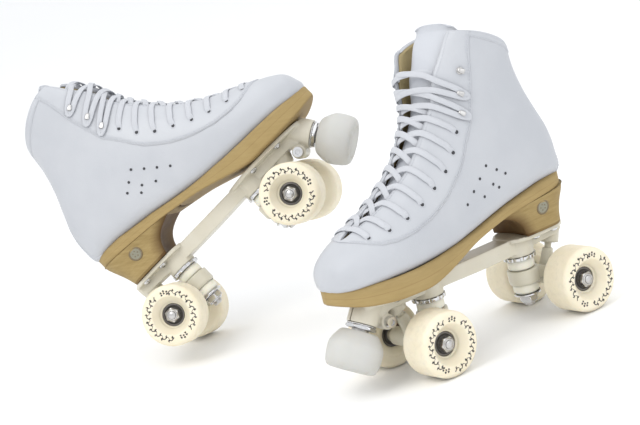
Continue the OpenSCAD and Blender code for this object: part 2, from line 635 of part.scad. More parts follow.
// sealed bearing: recessed shields between the races
module bearing(y0) {
  race_t = 1.7;
  recess = 0.5;
  y1 = y0 + bearing_w;
  bore = axle_r + run_gap;
  inner_race = bore + race_t;
  outer_race = bearing_r - race_t;
  spin_y([
    [bore, y0 + 0.25], [bore + 0.25, y0], [inner_race, y0], [inner_race, y0 + recess],
    [outer_race, y0 + recess], [outer_race, y0], [bearing_r - 0.3, y0], [bearing_r, y0 + 0.3],
    [bearing_r, y1 - 0.3], [bearing_r - 0.3, y1], [outer_race, y1], [outer_race, y1 - recess],
    [inner_race, y1 - recess], [inner_race, y1], [bore + 0.25, y1], [bore, y1 - 0.25]]);
}
module bearings() color([0.35, 0.34, 0.33]) at_axle() {
  bearing(inner_bearing_y);
  bearing(outer_bearing_y - bearing_w);
}

// --- placing ---------------------------------------------------------------
module rear() mirror([1, 0, 0]) children();
module inner() mirror([0, 1, 0]) children();
module right() {
  $throat_open = 0.25;
  $tongue_rise = 1;
  translate(tip_at) rotate(a = tip_back, v = tip_axis) rotate([0, 0, flat_yaw])
    translate(-tip_pivot) mirror([0, 1, 0]) children();
}

boot_upper();  // left_boot_upper
boot_lining();  // left_boot_lining
insole();  // left_insole
tongue();  // left_tongue
laces();  // left_laces
lace_hardware();  // left_lace_hardware
outsole();  // left_outsole
heel();  // left_heel
plate();  // left_plate
plate_screws();  // left_plate_screws
kingpins();  // left_kingpins
kingpin_nuts();  // left_kingpin_nuts
cushion_retainers();  // left_cushion_retainers
cushions();  // left_cushions
pivot_cups();  // left_pivot_cups
toe_stop_pad();  // left_toe_stop_pad
toe_stop_stem();  // left_toe_stop_stem
toe_stop_locknut();  // left_toe_stop_locknut
truck();  // left_front_truck
axle();  // left_front_axle
rear() truck();  // left_rear_truck
rear() axle();  // left_rear_axle
wheel();  // left_wheel_front_outer
inner() wheel();  // left_wheel_front_inner
rear() wheel();  // left_wheel_rear_outer
rear() inner() wheel();  // left_wheel_rear_inner
bearings();  // left_bearings_front_outer
inner() bearings();  // left_bearings_front_inner
rear() bearings();  // left_bearings_rear_outer
rear() inner() bearings();  // left_bearings_rear_inner
right() boot_upper();  // right_boot_upper
right() boot_lining();  // right_boot_lining
right() insole();  // right_insole
right() tongue();  // right_tongue
right() laces();  // right_laces
right() lace_hardware();  // right_lace_hardware
right() outsole();  // right_outsole
right() heel();  // right_heel
right() plate();  // right_plate
right() plate_screws();  // right_plate_screws
right() kingpins();  // right_kingpins
right() kingpin_nuts();  // right_kingpin_nuts
right() cushion_retainers();  // right_cushion_retainers
right() cushions();  // right_cushions
right() pivot_cups();  // right_pivot_cups
right() toe_stop_pad();  // right_toe_stop_pad
right() toe_stop_stem();  // right_toe_stop_stem
right() toe_stop_locknut();  // right_toe_stop_locknut
right() truck();  // right_front_truck
right() axle();  // right_front_axle
right() rear() truck();  // right_rear_truck
right() rear() axle();  // right_rear_axle
right() wheel();  // right_wheel_front_outer
right() inner() wheel();  // right_wheel_front_inner
right() rear() wheel();  // right_wheel_rear_outer
right() rear() inner() wheel();  // right_wheel_rear_inner
right() bearings();  // right_bearings_front_outer
right() inner() bearings();  // right_bearings_front_inner
right() rear() bearings();  // right_bearings_rear_outer
right() rear() inner() bearings();  // right_bearings_rear_inner
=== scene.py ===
"""A pair of high white leather roller skates with ivory plates, trucks and wheels.

Each skate is modelled in millimetres in its own frame: +x to the toe, +y to the outer side,
+z up, wheels touching z = 0 and the axles at equal distances ahead of and behind x = 0.
The left skate's frame is the scene's. The right skate is the mirror image, turned about the
inner end of its rear axle.
"""

from math import cos, pi, radians, sin

import bmesh
import bpy
import numpy as np
from mathutils import Matrix, Vector


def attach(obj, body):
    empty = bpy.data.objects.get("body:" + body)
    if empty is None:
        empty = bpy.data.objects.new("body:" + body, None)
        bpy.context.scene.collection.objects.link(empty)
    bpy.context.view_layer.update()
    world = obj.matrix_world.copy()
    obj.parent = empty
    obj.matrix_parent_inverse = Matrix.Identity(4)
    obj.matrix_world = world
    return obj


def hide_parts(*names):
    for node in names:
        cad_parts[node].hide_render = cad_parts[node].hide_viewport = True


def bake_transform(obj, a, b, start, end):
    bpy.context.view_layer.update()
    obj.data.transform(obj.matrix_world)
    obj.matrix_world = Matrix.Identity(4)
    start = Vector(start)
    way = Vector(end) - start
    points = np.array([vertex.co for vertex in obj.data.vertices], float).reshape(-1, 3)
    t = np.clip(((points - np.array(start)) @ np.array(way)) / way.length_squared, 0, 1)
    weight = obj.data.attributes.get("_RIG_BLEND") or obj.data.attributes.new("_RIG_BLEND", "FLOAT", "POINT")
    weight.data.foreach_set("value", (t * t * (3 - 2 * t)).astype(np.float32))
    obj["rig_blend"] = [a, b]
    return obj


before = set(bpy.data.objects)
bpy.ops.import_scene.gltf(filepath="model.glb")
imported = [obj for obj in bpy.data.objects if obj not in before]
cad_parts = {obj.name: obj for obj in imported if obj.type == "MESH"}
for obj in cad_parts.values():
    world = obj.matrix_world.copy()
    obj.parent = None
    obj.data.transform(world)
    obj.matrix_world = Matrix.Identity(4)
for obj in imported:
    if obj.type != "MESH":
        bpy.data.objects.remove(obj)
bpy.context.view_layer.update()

# ---------------------------------------------------------------- the two frames
AXLE_X = 82.5
AXLE_Z = 30.0
AXLE_END = 56.0  # from the middle of the skate to the end of an axle
WHEEL_CENTRE = (AXLE_X, 0, AXLE_Z)
KINGPIN = (54.0, 0, 0)
ENDS = ("front", "rear")
RIGHT_PIVOT = (88.1, -349.2, 28.9)  # where the inner end of the right rear axle lies


def turn(axis, degrees):
    """Rotation matrix about an axis."""
    x, y, z = np.array(axis, float) / np.linalg.norm(axis)
    cross = np.array([[0, -z, y], [z, 0, -x], [-y, x, 0]])
    angle = radians(degrees)
    return np.eye(3) + sin(angle) * cross + (1 - cos(angle)) * cross @ cross


RIGHT_TURN = turn((0.8899, 0.4561, 0), 35.93) @ turn((0, 0, 1), 139.76)


def to_world(skate, points):
    """Scene positions, in metres, of points in a skate's frame."""
    points = np.asarray(points, float)
    if skate == "left":
        return points * 0.001
    mirrored = points * [1, -1, 1] + [AXLE_X, -AXLE_END, -AXLE_Z]
    return (mirrored @ RIGHT_TURN.T + RIGHT_PIVOT) * 0.001


def reverse(faces):
    return [f[::-1] for f in faces]


class Piece:
    """Collects shapes of one skate, in millimetres, into one mesh object."""

    def __init__(self, skate):
        self.skate = skate
        self.points, self.faces, self.face_materials = [], [], []
        self.attributes = {}
        self.count = 0

    def add(self, points, faces, material=0, flip=False, **attributes):
        """material is one slot number, or one for each face; attributes are per point."""
        points = np.asarray(points, float).reshape(-1, 3)
        faces = reverse(faces) if flip else faces
        self.points.append(points)
        self.faces += [tuple(i + self.count for i in f) for f in faces]
        self.face_materials += np.broadcast_to(material, len(faces)).tolist()
        for name, values in attributes.items():
            self.attributes.setdefault(name, []).append(np.ravel(values))
        self.count += len(points)

    def add_at_corner(self, shape, rear, inner=False, flip=False, **more):
        """Adds a shape made for the front outer corner, mirrored to another corner."""
        points, faces = shape
        mirror = [-1 if rear else 1, -1 if inner else 1, 1]
        self.add(points * np.array(mirror), faces, flip=flip != (rear != inner), **more)

    def make(self, name, materials, replaces=None, body="chassis", weld=0.0, bend=None):
        """Builds the object. weld is in millimetres; bend is (second body, start, end)."""
        prefix = self.skate + "_"
        mesh = bpy.data.meshes.new(prefix + name)
        points = to_world(self.skate, np.concatenate(self.points))
        faces = reverse(self.faces) if self.skate == "right" else self.faces
        mesh.from_pydata(points.tolist(), [], faces)
        mesh.update()
        for key, values in self.attributes.items():
            attribute = mesh.attributes.new(key, "FLOAT", "POINT")
            attribute.data.foreach_set("value", np.concatenate(values).astype(np.float32))
        for material in materials:
            mesh.materials.append(material)
        if len(materials) > 1:
            indices = np.array(self.face_materials, np.int32)
            mesh.polygons.foreach_set("material_index", indices)
        if weld:
            bm = bmesh.new()
            bm.from_mesh(mesh)
            bmesh.ops.remove_doubles(bm, verts=bm.verts, dist=weld * 0.001)
            bmesh.ops.dissolve_degenerate(bm, edges=bm.edges, dist=1e-7)
            bm.to_mesh(mesh)
            bm.free()
        mesh.polygons.foreach_set("use_smooth", [True] * len(mesh.polygons))
        mesh.update()
        ob = bpy.data.objects.new(prefix + name, mesh)
        bpy.context.scene.collection.objects.link(ob)
        if bend:
            second_body, start, end = bend
            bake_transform(ob, prefix + body, prefix + second_body, start, end)
        else:
            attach(ob, prefix + body)
        if replaces:
            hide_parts(prefix + replaces)


# ---------------------------------------------------------------- curves and solids
def unit(vectors):
    return vectors / (np.linalg.norm(vectors, axis=-1, keepdims=True) + 1e-12)


def signed_power(values, exponent):
    return np.sign(values) * np.abs(values) ** exponent


def steps(start, stop, per_unit):
    return np.linspace(start, stop, int(round((stop - start) * per_unit)) + 1)


def arc_length(points):
    """Distance along a polyline at each of its points."""
    return np.concatenate([[0], np.cumsum(np.linalg.norm(np.diff(points, axis=0), axis=1))])


def resample(at, length, values):
    """Rows of values, known at the distances length, read at other distances."""
    return np.stack([np.interp(at, length, column) for column in values.T], -1)


def catmull_rom(a, b, c, d, t):
    return 0.5 * (2 * b + (c - a) * t + (2 * a - 5 * b + 4 * c - d) * t * t
                  + (3 * b - a - 3 * c + d) * t ** 3)


def curve(points, count):
    """Smooth curve through points, with count steps between each pair."""
    points = np.asarray(points, float)
    ends = np.vstack([2 * points[0] - points[1], points, 2 * points[-1] - points[-2]])
    out = [catmull_rom(*ends[i - 1:i + 3], t) for i in range(1, len(ends) - 2)
           for t in np.linspace(0, 1, count, endpoint=False)]
    return np.array(out + [points[-1]])


def rounded(profile, radius, count):
    """Rounds the corners of an open polyline, with count steps to a corner."""
    profile = [np.array(p, float) for p in profile]
    out = [profile[0]]
    for before, corner, after in zip(profile, profile[1:], profile[2:]):
        back, ahead = before - corner, after - corner
        back_length, ahead_length = np.linalg.norm(back), np.linalg.norm(ahead)
        reach = min(radius, back_length * 0.45, ahead_length * 0.45)
        start = corner + back / back_length * reach
        end = corner + ahead / ahead_length * reach
        for t in np.linspace(0, 1, count + 1):
            out.append((1 - t) ** 2 * start + 2 * t * (1 - t) * corner + t * t * end)
    out.append(profile[-1])
    return [tuple(p) for p in out]


def grid_faces(row_count, column_count, wrap=False):
    """Quads of a grid of points; wrap joins the last column to the first."""
    faces = []
    for i in range(row_count - 1):
        low, high = i * column_count, (i + 1) * column_count
        for j in range(column_count if wrap else column_count - 1):
            k = (j + 1) % column_count
            faces.append((low + j, low + k, high + k, high + j))
    return faces


def tube_faces(ring_count, size):
    """Quads between rings of points, and a cap on each end."""
    last = (ring_count - 1) * size
    caps = [tuple(range(size)), tuple(last + i for i in range(size))[::-1]]
    return reverse(grid_faces(ring_count, size, wrap=True)) + caps


def add_sheet(piece, outer, inner, flip):
    """A closed sheet between two grids of points."""
    grid = np.concatenate([outer, inner[:, ::-1]], 1)
    piece.add(grid, tube_faces(*grid.shape[:2]), flip=flip)


def lathe(profile, count, turned=np.eye(3), centre=(0, 0, 0), radius=None):
    """Revolves (r, z) points round z, then turns and moves them.

    radius(r, angle), if given, varies the radius round the axis.
    """
    angles = np.linspace(0, 2 * pi, count, endpoint=False)
    rings = []
    for r, z in profile:
        reach = np.array([radius(r, t) if radius else r for t in angles], float)
        ring = [reach * np.cos(angles), reach * np.sin(angles), np.full(count, float(z))]
        rings.append(np.stack(ring, -1))
    points = np.concatenate(rings) @ turned.T + centre
    return points, grid_faces(len(profile), count, wrap=True)


TO_Y = np.array([[1, 0, 0], [0, 0, 1], [0, -1, 0]], float)  # turns z to +y


def frame_on(normal, along):
    """Matrix that turns z to the normal and x to the direction along."""
    normal = unit(np.array(normal, float))
    along = unit(np.array(along, float) - normal * np.dot(along, normal))
    return np.stack([along, np.cross(normal, along), normal], -1)


def nut(flats, height, bore, turned=np.eye(3), centre=(0, 0, 0), collar=0.0):
    """Chamfered hexagon nut; flats is its width, collar the height of a round far end."""
    rim = flats / 2 * 1.03
    shoulder = flats / 2 * 1.1
    # a radius of flats lies beyond the corners, so it follows the hexagon
    profile = [(bore, 0), (rim, 0), (shoulder, 0.35), (flats, 0.75),
               (flats, height - 0.75), (shoulder, height - 0.35), (rim, height)]
    top = height + collar
    if collar:
        profile += [(flats * 0.42, height), (flats * 0.42, top - 0.5), (flats * 0.39, top),
                    (bore + 0.3, top)]
    profile += [(bore, top), (bore, 0)]

    def hexagon(r, angle):
        return min(r, flats / 2 / cos(angle % (pi / 3) - pi / 6))
    return lathe(profile, 96, turned, centre, hexagon)


def thread(start, stop, pitch, crest, root):
    """Profile of a screw thread."""
    return [p for z in np.arange(start, stop, pitch)
            for p in ((crest, z), (root, z + pitch / 2))]


def ribbon(centres, normals, widths, thickness, count, squareness):
    """Sweeps a flat rounded section along a line, its flat side facing the normals.

    Gives the points and faces, and each point's distance along and place across (-1 to 1).
    """
    tangents = unit(np.gradient(centres, axis=0))
    normals = unit(normals - (normals * tangents).sum(1)[:, None] * tangents)
    across = np.cross(tangents, normals)
    angles = np.linspace(0, 2 * pi, count, endpoint=False)
    flat = signed_power(np.cos(angles), 2 / squareness)
    rise = signed_power(np.sin(angles), 2 / squareness)
    points = (centres[:, None]
              + across[:, None] * (flat[None, :, None] * widths[:, None, None] / 2)
              + normals[:, None] * (rise[None, :, None] * thickness / 2))
    along = np.repeat(arc_length(centres), count)
    faces = tube_faces(len(centres), count)
    return points.reshape(-1, 3), faces, along, np.tile(flat, len(centres))


# ---------------------------------------------------------------- shading tools
class Shader:
    """A Principled material; its methods add nodes and give back their outputs."""

    def __init__(self, name):
        self.material = bpy.data.materials.new(name)
        self.material.use_nodes = True
        self.tree = self.material.node_tree

    def wire(self, socket, value):
        if isinstance(value, bpy.types.NodeSocket):
            self.tree.links.new(value, socket)
        elif isinstance(value, (tuple, list)) and socket.type == "RGBA":
            socket.default_value = (*value, 1)
        else:
            socket.default_value = value

    def node(self, kind, output, inputs, **settings):
        node = self.tree.nodes.new(kind)
        for name, value in settings.items():
            setattr(node, name, value)
        for name, value in inputs.items():
            self.wire(node.inputs[name], value)
        return node.outputs[output]

    def position(self):
        return self.node("ShaderNodeTexCoord", "Object", {})

    def attribute(self, name):
        return self.node("ShaderNodeAttribute", "Fac", {}, attribute_name=name)

    def noise(self, scale, detail, roughness=0.5, at=None):
        inputs = {"Scale": scale, "Detail": detail, "Roughness": roughness,
                  "Vector": at or self.position()}
        return self.node("ShaderNodeTexNoise", "Fac", inputs)

    def math(self, operation, a, b=None, clamp=False):
        inputs = {0: a} if b is None else {0: a, 1: b}
        return self.node("ShaderNodeMath", 0, inputs, operation=operation, use_clamp=clamp)

    def scaled(self, value, amount, base):
        """value * amount + base."""
        return self.math("ADD", self.math("MULTIPLY", value, amount), base)

    def mix(self, factor, a, b):
        # sockets 6, 7 and 2 are the colour ones
        return self.node("ShaderNodeMix", 2, {0: factor, 6: a, 7: b}, data_type="RGBA")

    def ramp(self, factor, stops):
        """stops are (position, colour or grey)."""
        node = self.tree.nodes.new("ShaderNodeValToRGB")
        elements = node.color_ramp.elements
        while len(elements) < len(stops):
            elements.new(0.5)
        for element, (position, colour) in zip(elements, stops):
            element.position = position
            element.color = (*colour, 1) if isinstance(colour, tuple) else (*[colour] * 3, 1)
        self.wire(node.inputs["Fac"], factor)
        return node.outputs["Color"]

    def two_tone(self, value, low, high, first, second):
        """Goes from the first colour to the second as value goes from low to high."""
        return self.mix(self.ramp(value, [(low, 0), (high, 1)]), first, second)

    # Painted shade: mixes the colour towards a darker one where ambient occlusion finds the surface hidden,
    # in creases, recesses and between parts.
    def paint_crevice_shade(self, colour, distance, amount, crevice_shade):
        occlusion = self.node("ShaderNodeAmbientOcclusion", "AO", {"Distance": distance},
                              samples=4)
        hidden = self.math("SUBTRACT", 1.0, occlusion, clamp=True)
        return self.mix(self.math("MULTIPLY", hidden, amount, clamp=True), colour, crevice_shade)

    def finish(self, inputs, bumps):
        """Sets the Principled inputs and chains bumps (height, strength, metres deep)."""
        surface = self.tree.nodes["Principled BSDF"]
        for name, value in inputs.items():
            self.wire(surface.inputs[name], value)
        chain = {}
        for height, strength, distance in bumps:
            inputs = {"Strength": strength, "Distance": distance, "Height": height, **chain}
            chain = {"Normal": self.node("ShaderNodeBump", "Normal", inputs)}
        self.wire(surface.inputs["Normal"], chain["Normal"])
        return self.material


def shade(colour, factor):
    return [c * factor for c in colour]


# ---------------------------------------------------------------- materials
def leather(name, first, second, roughness, grain, depth, coat, crevice_shade, crevice_shade_colour):
    """grain is the scale of the cells, depth the strength of the fine bumps."""
    s = Shader(name)
    colour = s.two_tone(s.noise(scale=22, detail=3), 0.35, 0.65, first, second)
    cells = s.node("ShaderNodeTexVoronoi", "Distance",
                   {"Scale": grain, "Vector": s.position()}, feature="SMOOTH_F1")
    fine = s.noise(scale=grain * 2.2, detail=3, roughness=0.6)
    pores = s.noise(scale=grain * 0.45, detail=2)
    cell_middle = s.math("SUBTRACT", 0.35, cells, clamp=True)
    colour = s.mix(s.math("MULTIPLY", cell_middle, 0.22), colour, shade(first, 0.72))
    # painted shade in the leather's creases, seams and folds
    colour = s.paint_crevice_shade(colour, 0.006, crevice_shade, crevice_shade_colour)
    return s.finish({
        "Base Color": colour,
        "Roughness": s.scaled(fine, amount=0.14, base=roughness - 0.07),
        "Coat Weight": coat,
        "Coat Roughness": 0.28,
        "Specular IOR Level": 0.45,
    }, [(s.noise(scale=45, detail=3), 0.35, 0.0009), (cells, 0.30 * depth, 0.00030),
        (pores, 0.25 * depth, 0.00025), (fine, 0.3 * depth, 0.00008)])


def sole_leather(name, stacked):
    """Streaked tan leather. "lay" is the height in the piece, "dark" the darkening, which on the heel's
    breast is painted shade.
    """
    s = Shader(name)
    lay = s.attribute("lay")
    stretched = s.node("ShaderNodeMapping", "Vector",
                       {"Vector": s.position(), "Scale": (60, 60, 420)})
    streak = s.noise(scale=1.0, detail=5, roughness=0.62, at=stretched)
    blot = s.noise(scale=38, detail=4, roughness=0.6)
    pattern = s.math("ADD", s.math("MULTIPLY", streak, 0.6), s.math("MULTIPLY", blot, 0.4))
    base = s.ramp(pattern, [(0.30, (0.265, 0.185, 0.072)), (0.50, (0.345, 0.250, 0.105)),
                            (0.72, (0.42, 0.315, 0.145))])
    if stacked:
        layer = s.math("FRACT", s.math("MULTIPLY", lay, 8.0))  # eight layers
        line = s.ramp(layer, [(0.0, 1.0), (0.05, 0.0), (0.95, 0.0), (1.0, 1.0)])
        base = s.mix(s.math("MULTIPLY", line, 0.45), base, (0.24, 0.15, 0.06))
        # Painted shade on the heel's breast, where "dark" is 1; the lowest layers and the bottom of the heel
        # are darkened too, in blotches.
        dark = s.attribute("dark")
        patchy = s.scaled(blot, amount=0.6, base=0.62)
        darkening = s.math("MULTIPLY", dark, patchy, clamp=True)
        base = s.mix(darkening, base, (0.105, 0.055, 0.018))
    else:
        edge = s.ramp(lay, [(0.0, (0.35, 0.24, 0.10)), (0.10, (0.37, 0.26, 0.11)),
                            (0.16, (0.39, 0.28, 0.12)), (0.60, (0.40, 0.29, 0.125)),
                            (0.64, (0.30, 0.19, 0.085)), (0.68, (0.39, 0.28, 0.12)),
                            (0.93, (0.38, 0.275, 0.12)), (1.0, (0.35, 0.25, 0.11))])
        base = s.mix(0.6, base, edge)
        darkening = s.math("MULTIPLY", s.attribute("dark"), 0.8, clamp=True)
        base = s.mix(darkening, base, (0.20, 0.125, 0.055))
    # painted shade in the creases of the sole and heel
    base = s.paint_crevice_shade(base, 0.004, 0.16, (0.20, 0.13, 0.06))
    return s.finish({
        "Base Color": base,
        "Roughness": s.scaled(streak, amount=0.25, base=0.48),
        "Coat Weight": 0.0,
        "Specular IOR Level": 0.22,
        "Coat Roughness": 0.22,
    }, [(streak, 0.30, 0.0004), (s.noise(scale=900, detail=3), 0.2, 0.0001)])


def paint(name, first, second, roughness):
    s = Shader(name)
    colour = s.two_tone(s.noise(scale=30, detail=4), 0.35, 0.68, first, second)
    # painted shade in the casting's recesses and corners
    colour = s.paint_crevice_shade(colour, 0.007, 0.75, (0.33, 0.29, 0.21))
    scuffs = s.ramp(s.noise(scale=260, detail=6, roughness=0.7), [(0.66, 0), (0.72, 1)])
    colour = s.mix(s.math("MULTIPLY", scuffs, 0.35), colour, (0.42, 0.40, 0.35))
    return s.finish({
        "Base Color": colour,
        "Roughness": s.scaled(s.noise(scale=90, detail=4), amount=0.2, base=roughness - 0.1),
        "Coat Weight": 0.2,
        "Coat Roughness": 0.2,
    }, [(s.noise(scale=420, detail=2), 0.25, 0.00035),
        (s.noise(scale=2100, detail=2), 0.15, 0.00006)])


def urethane(name, first, second, roughness, subsurface, scuff=0.0):
    """scuff is the strength of the marks where the "wear" attribute is high."""
    s = Shader(name)
    colour = s.two_tone(s.noise(scale=35, detail=3), 0.35, 0.65, first, second)
    # painted shade in hollows and corners
    colour = s.paint_crevice_shade(colour, 0.006, 0.5, shade(first, 0.45))
    rough = s.scaled(s.noise(scale=160, detail=4), amount=0.22, base=roughness - 0.1)
    if scuff:
        wear = s.attribute("wear")
        spots = s.ramp(s.noise(scale=210, detail=6, roughness=0.72), [(0.47, 0), (0.70, 1)])
        marks = s.math("MULTIPLY", wear, spots, clamp=True)
        marks = s.math("MULTIPLY", marks, scuff, clamp=True)
        colour = s.mix(marks, colour, (0.42, 0.38, 0.30))
        rough = s.math("ADD", rough, s.math("MULTIPLY", wear, 0.22), clamp=True)
    return s.finish({
        "Base Color": colour,
        "Roughness": rough,
        "Subsurface Weight": subsurface,
        "Subsurface Radius": (0.006, 0.004, 0.002),
        "Subsurface Scale": 1.0,
    }, [(s.noise(scale=240, detail=4), 0.14, 0.0003),
        (s.noise(scale=1500, detail=2), 0.12, 0.00006)])


def metal(name, colour, roughness, crevice_shade=0.5, bump=0.2):
    s = Shader(name)
    mottle = s.noise(scale=240, detail=5, roughness=0.65)
    tone = s.two_tone(mottle, 0.35, 0.7, shade(colour, 0.86), colour)
    return s.finish({
        # painted shade in the metal's recesses
        "Base Color": s.paint_crevice_shade(tone, 0.003, crevice_shade, (0.07, 0.06, 0.05)),
        "Metallic": 1.0,
        "Roughness": s.scaled(mottle, amount=0.22, base=roughness - 0.1),
    }, [(s.noise(scale=1600, detail=3), bump, 0.00005)])


def plain(name, colour, roughness, metallic=0.0):
    s = Shader(name)
    mottle = s.noise(scale=600, detail=3)
    return s.finish({
        "Base Color": s.mix(mottle, shade(colour, 0.8), colour),
        "Roughness": s.scaled(mottle, amount=0.2, base=roughness - 0.1),
        "Metallic": metallic,
    }, [(s.noise(scale=1500, detail=2), 0.15, 0.00006)])


def woven(name, colour, pitch):
    """Chevron weave; "ls" is the distance along the lace and "lw" across it, in mm."""
    s = Shader(name)
    along, across = s.attribute("ls"), s.attribute("lw")
    slant = s.math("MULTIPLY", s.math("ABSOLUTE", across), 1.3)
    chevron = s.math("SINE", s.math("MULTIPLY", s.math("ADD", along, slant), 2 * pi / pitch))
    cords = s.math("SINE", s.math("MULTIPLY", across, 14.0))
    weave = s.math("ADD", s.math("MULTIPLY", chevron, 0.6), s.math("MULTIPLY", cords, 0.5))
    fuzz = s.noise(scale=4200, detail=3, roughness=0.7)
    height = s.math("ADD", weave, s.math("MULTIPLY", fuzz, 0.8))
    tint = s.math("ADD", s.math("MULTIPLY", weave, 0.25), 0.5, clamp=True)
    tone = s.mix(tint, shade(colour, 0.86), colour)
    return s.finish({
        # painted shade where the lace is hidden, under crossings and at the eyelets
        "Base Color": s.paint_crevice_shade(tone, 0.004, 0.55, (0.42, 0.43, 0.46)),
        "Roughness": 0.78,
        "Sheen Weight": 0.25,
        "Sheen Roughness": 0.5,
    }, [(height, 0.55, 0.00022)])


# The last two values of each leather set the painted shade in its creases: its strength and its colour.
WHITE = leather("white_leather", (0.476, 0.49, 0.522), (0.511, 0.524, 0.554), roughness=0.47,
                grain=1300, depth=0.8, coat=0.08, crevice_shade=0.30, crevice_shade_colour=(0.40, 0.40, 0.43))
FACING = leather("white_facing_leather", (0.486, 0.50, 0.532), (0.521, 0.534, 0.564),
                 roughness=0.45, grain=1300, depth=0.75, coat=0.10, crevice_shade=0.5,
                 crevice_shade_colour=(0.36, 0.37, 0.41))
TONGUE = leather("tongue_leather", (0.505, 0.523, 0.563), (0.54, 0.556, 0.595), roughness=0.5,
                 grain=1100, depth=0.8, coat=0.05, crevice_shade=0.35, crevice_shade_colour=(0.42, 0.42, 0.45))
# The lining's tan is darkened to the shade inside the boot: painted shade over its own tan colour.
SHADED_LINING = leather("tan_lining", (0.30, 0.235, 0.115), (0.375, 0.30, 0.155), roughness=0.64,
                 grain=1000, depth=0.9, coat=0.0, crevice_shade=0.8, crevice_shade_colour=(0.085, 0.06, 0.025))
INSOLE = leather("insole_leather", (0.46, 0.33, 0.18), (0.52, 0.39, 0.22), roughness=0.60,
                 grain=900, depth=0.8, coat=0.0, crevice_shade=0.5, crevice_shade_colour=(0.16, 0.11, 0.06))
SOLE = sole_leather("sole_leather", stacked=False)
HEEL = sole_leather("stacked_heel_leather", stacked=True)
PLATE = paint("ivory_paint", (0.64, 0.60, 0.49), (0.69, 0.655, 0.555), roughness=0.36)
TRUCK = paint("ivory_paint_truck", (0.635, 0.60, 0.485), (0.685, 0.65, 0.545), roughness=0.34)
WHEEL = urethane("ivory_urethane", (0.83, 0.75, 0.57), (0.87, 0.80, 0.635),
                 roughness=0.40, subsurface=0.12, scuff=0.16)
PAD = urethane("white_rubber", (0.535, 0.53, 0.50), (0.57, 0.565, 0.54),
               roughness=0.55, subsurface=0.08, scuff=0.35)
CUSHION = urethane("cushion_urethane", (0.85, 0.82, 0.70), (0.88, 0.855, 0.75),
                   roughness=0.34, subsurface=0.2)
NYLON = urethane("cup_nylon", (0.72, 0.69, 0.58), (0.77, 0.74, 0.65),
                 roughness=0.40, subsurface=0.05)
STEEL = metal("zinc_steel", (0.62, 0.61, 0.60), roughness=0.30)
CHROME = metal("chrome_steel", (0.74, 0.74, 0.75), roughness=0.16, crevice_shade=0.3, bump=0.05)
RACE = metal("bearing_race", (0.17, 0.16, 0.15), roughness=0.30)
HOLE = plain("punched_hole_shadow", (0.05, 0.05, 0.055), roughness=0.8)
INK = plain("printed_wheel_mark", (0.055, 0.05, 0.045), roughness=0.5)
SEAL = plain("bearing_seal", (0.05, 0.045, 0.04), roughness=0.45)
STUD = plain("heel_stud", (0.30, 0.29, 0.22), roughness=0.40, metallic=0.35)
STUD_RIM = plain("heel_stud_rim", (0.22, 0.17, 0.10), roughness=0.45, metallic=0.2)
LACE = woven("lace_cotton", (0.62, 0.635, 0.675), pitch=1.1)
THREAD = plain("stitch_thread", (0.60, 0.62, 0.66), roughness=0.65)

# ---------------------------------------------------------------- boot surface
# Slices from the toe (0) over the instep to the rim of the shaft (17). A place on a slice is
# an angle from 0 on the sole or back line to 180 on the front line.
# Columns: back x, back z, front x, front z, half width, share of the height at the widest,
# roundness below and above it, throat half width, middle y, how far the open inner side
# moves in x and y, dip of its top, bow of the slice.
STATIONS = np.array([
    [154.5, 98, 156, 108.5, 9, .50, 2.2, 2.2, 0, -4.5, 0, 0, 0, 0],
    [150.5, 97, 151, 121.5, 20, .42, 3.0, 2.3, 0, -4.3, 0, 0, 0, 0],
    [142, 96, 141.5, 129.5, 28, .38, 3.6, 2.3, 0, -4, 0, 0, 0, 0],
    [129, 96, 127, 137.5, 34.5, .36, 4.0, 2.2, 0, -3.2, 0, 0, 0, 0],
    [110, 96, 109, 146, 39, .34, 4.2, 2.1, 7, -2, 0, 0, 0, 0],
    [85, 96.5, 88.5, 156, 41, .32, 4.2, 2.1, 10, -0.5, 0, 0, 0, 0],
    [60, 98, 70, 168, 40.5, .31, 4.2, 2.2, 12, 0.5, 0, 0, 0, 0],
    [34, 101, 53.5, 181, 38.5, .30, 4.2, 2.3, 13, 1, 1.5, 1, 0, 0],
    [3, 107, 39, 196.5, 36, .31, 4.2, 2.3, 13, 0.5, 3.5, 2.3, 0, 0],
    [-33, 114.5, 26.5, 212, 34.5, .33, 4.0, 2.3, 13, 0, 6.5, 4.5, 0, 0],
    [-74, 120.5, 18.5, 223.5, 34, .38, 3.6, 2.3, 13, 0, 9.5, 7, 0, 0],
    [-108, 123, 13.5, 233.5, 33, .42, 2.8, 2.3, 13, 0, 12.5, 9, 0, 0],
    [-113, 141.5, 10.5, 242, 32, .43, 2.4, 2.3, 13, 0, 15, 11, 0, 0],
    [-110, 162, 5.5, 252, 31.5, .44, 2.3, 2.3, 13, 0, 18, 13.5, 0, 0],
    [-102, 182, -2.5, 261, 31, .46, 2.2, 2.3, 13, 0, 21, 15.5, 1, 0],
    [-93, 203, -9, 269, 31.5, .48, 2.2, 2.3, 13.5, 0, 24, 18, 3, 0.5],
    [-86, 226, -15, 276.5, 32.5, .50, 2.2, 2.3, 14, 0, 26, 19.5, 7, 2],
    [-83, 248, -21, 282.5, 33.5, .50, 2.2, 2.3, 14.5, 0, 26, 20, 14, 5]], float)
HALF_WIDTH, HIGH_ROUND, THROAT, MID_Y, OPEN_X, DIP, BOW = 4, 7, 8, 9, 10, 12, 13
TOP = len(STATIONS) - 1
THROAT_START = 3  # slice where the throat begins

OPENING = {"left": 1.0, "right": 0.25}  # how far the inner side of the shaft is opened
LEATHER = 2.2
FACING_LIFT = 1.0
STAY_LIFT = 0.8
BAND_LIFT = 0.55

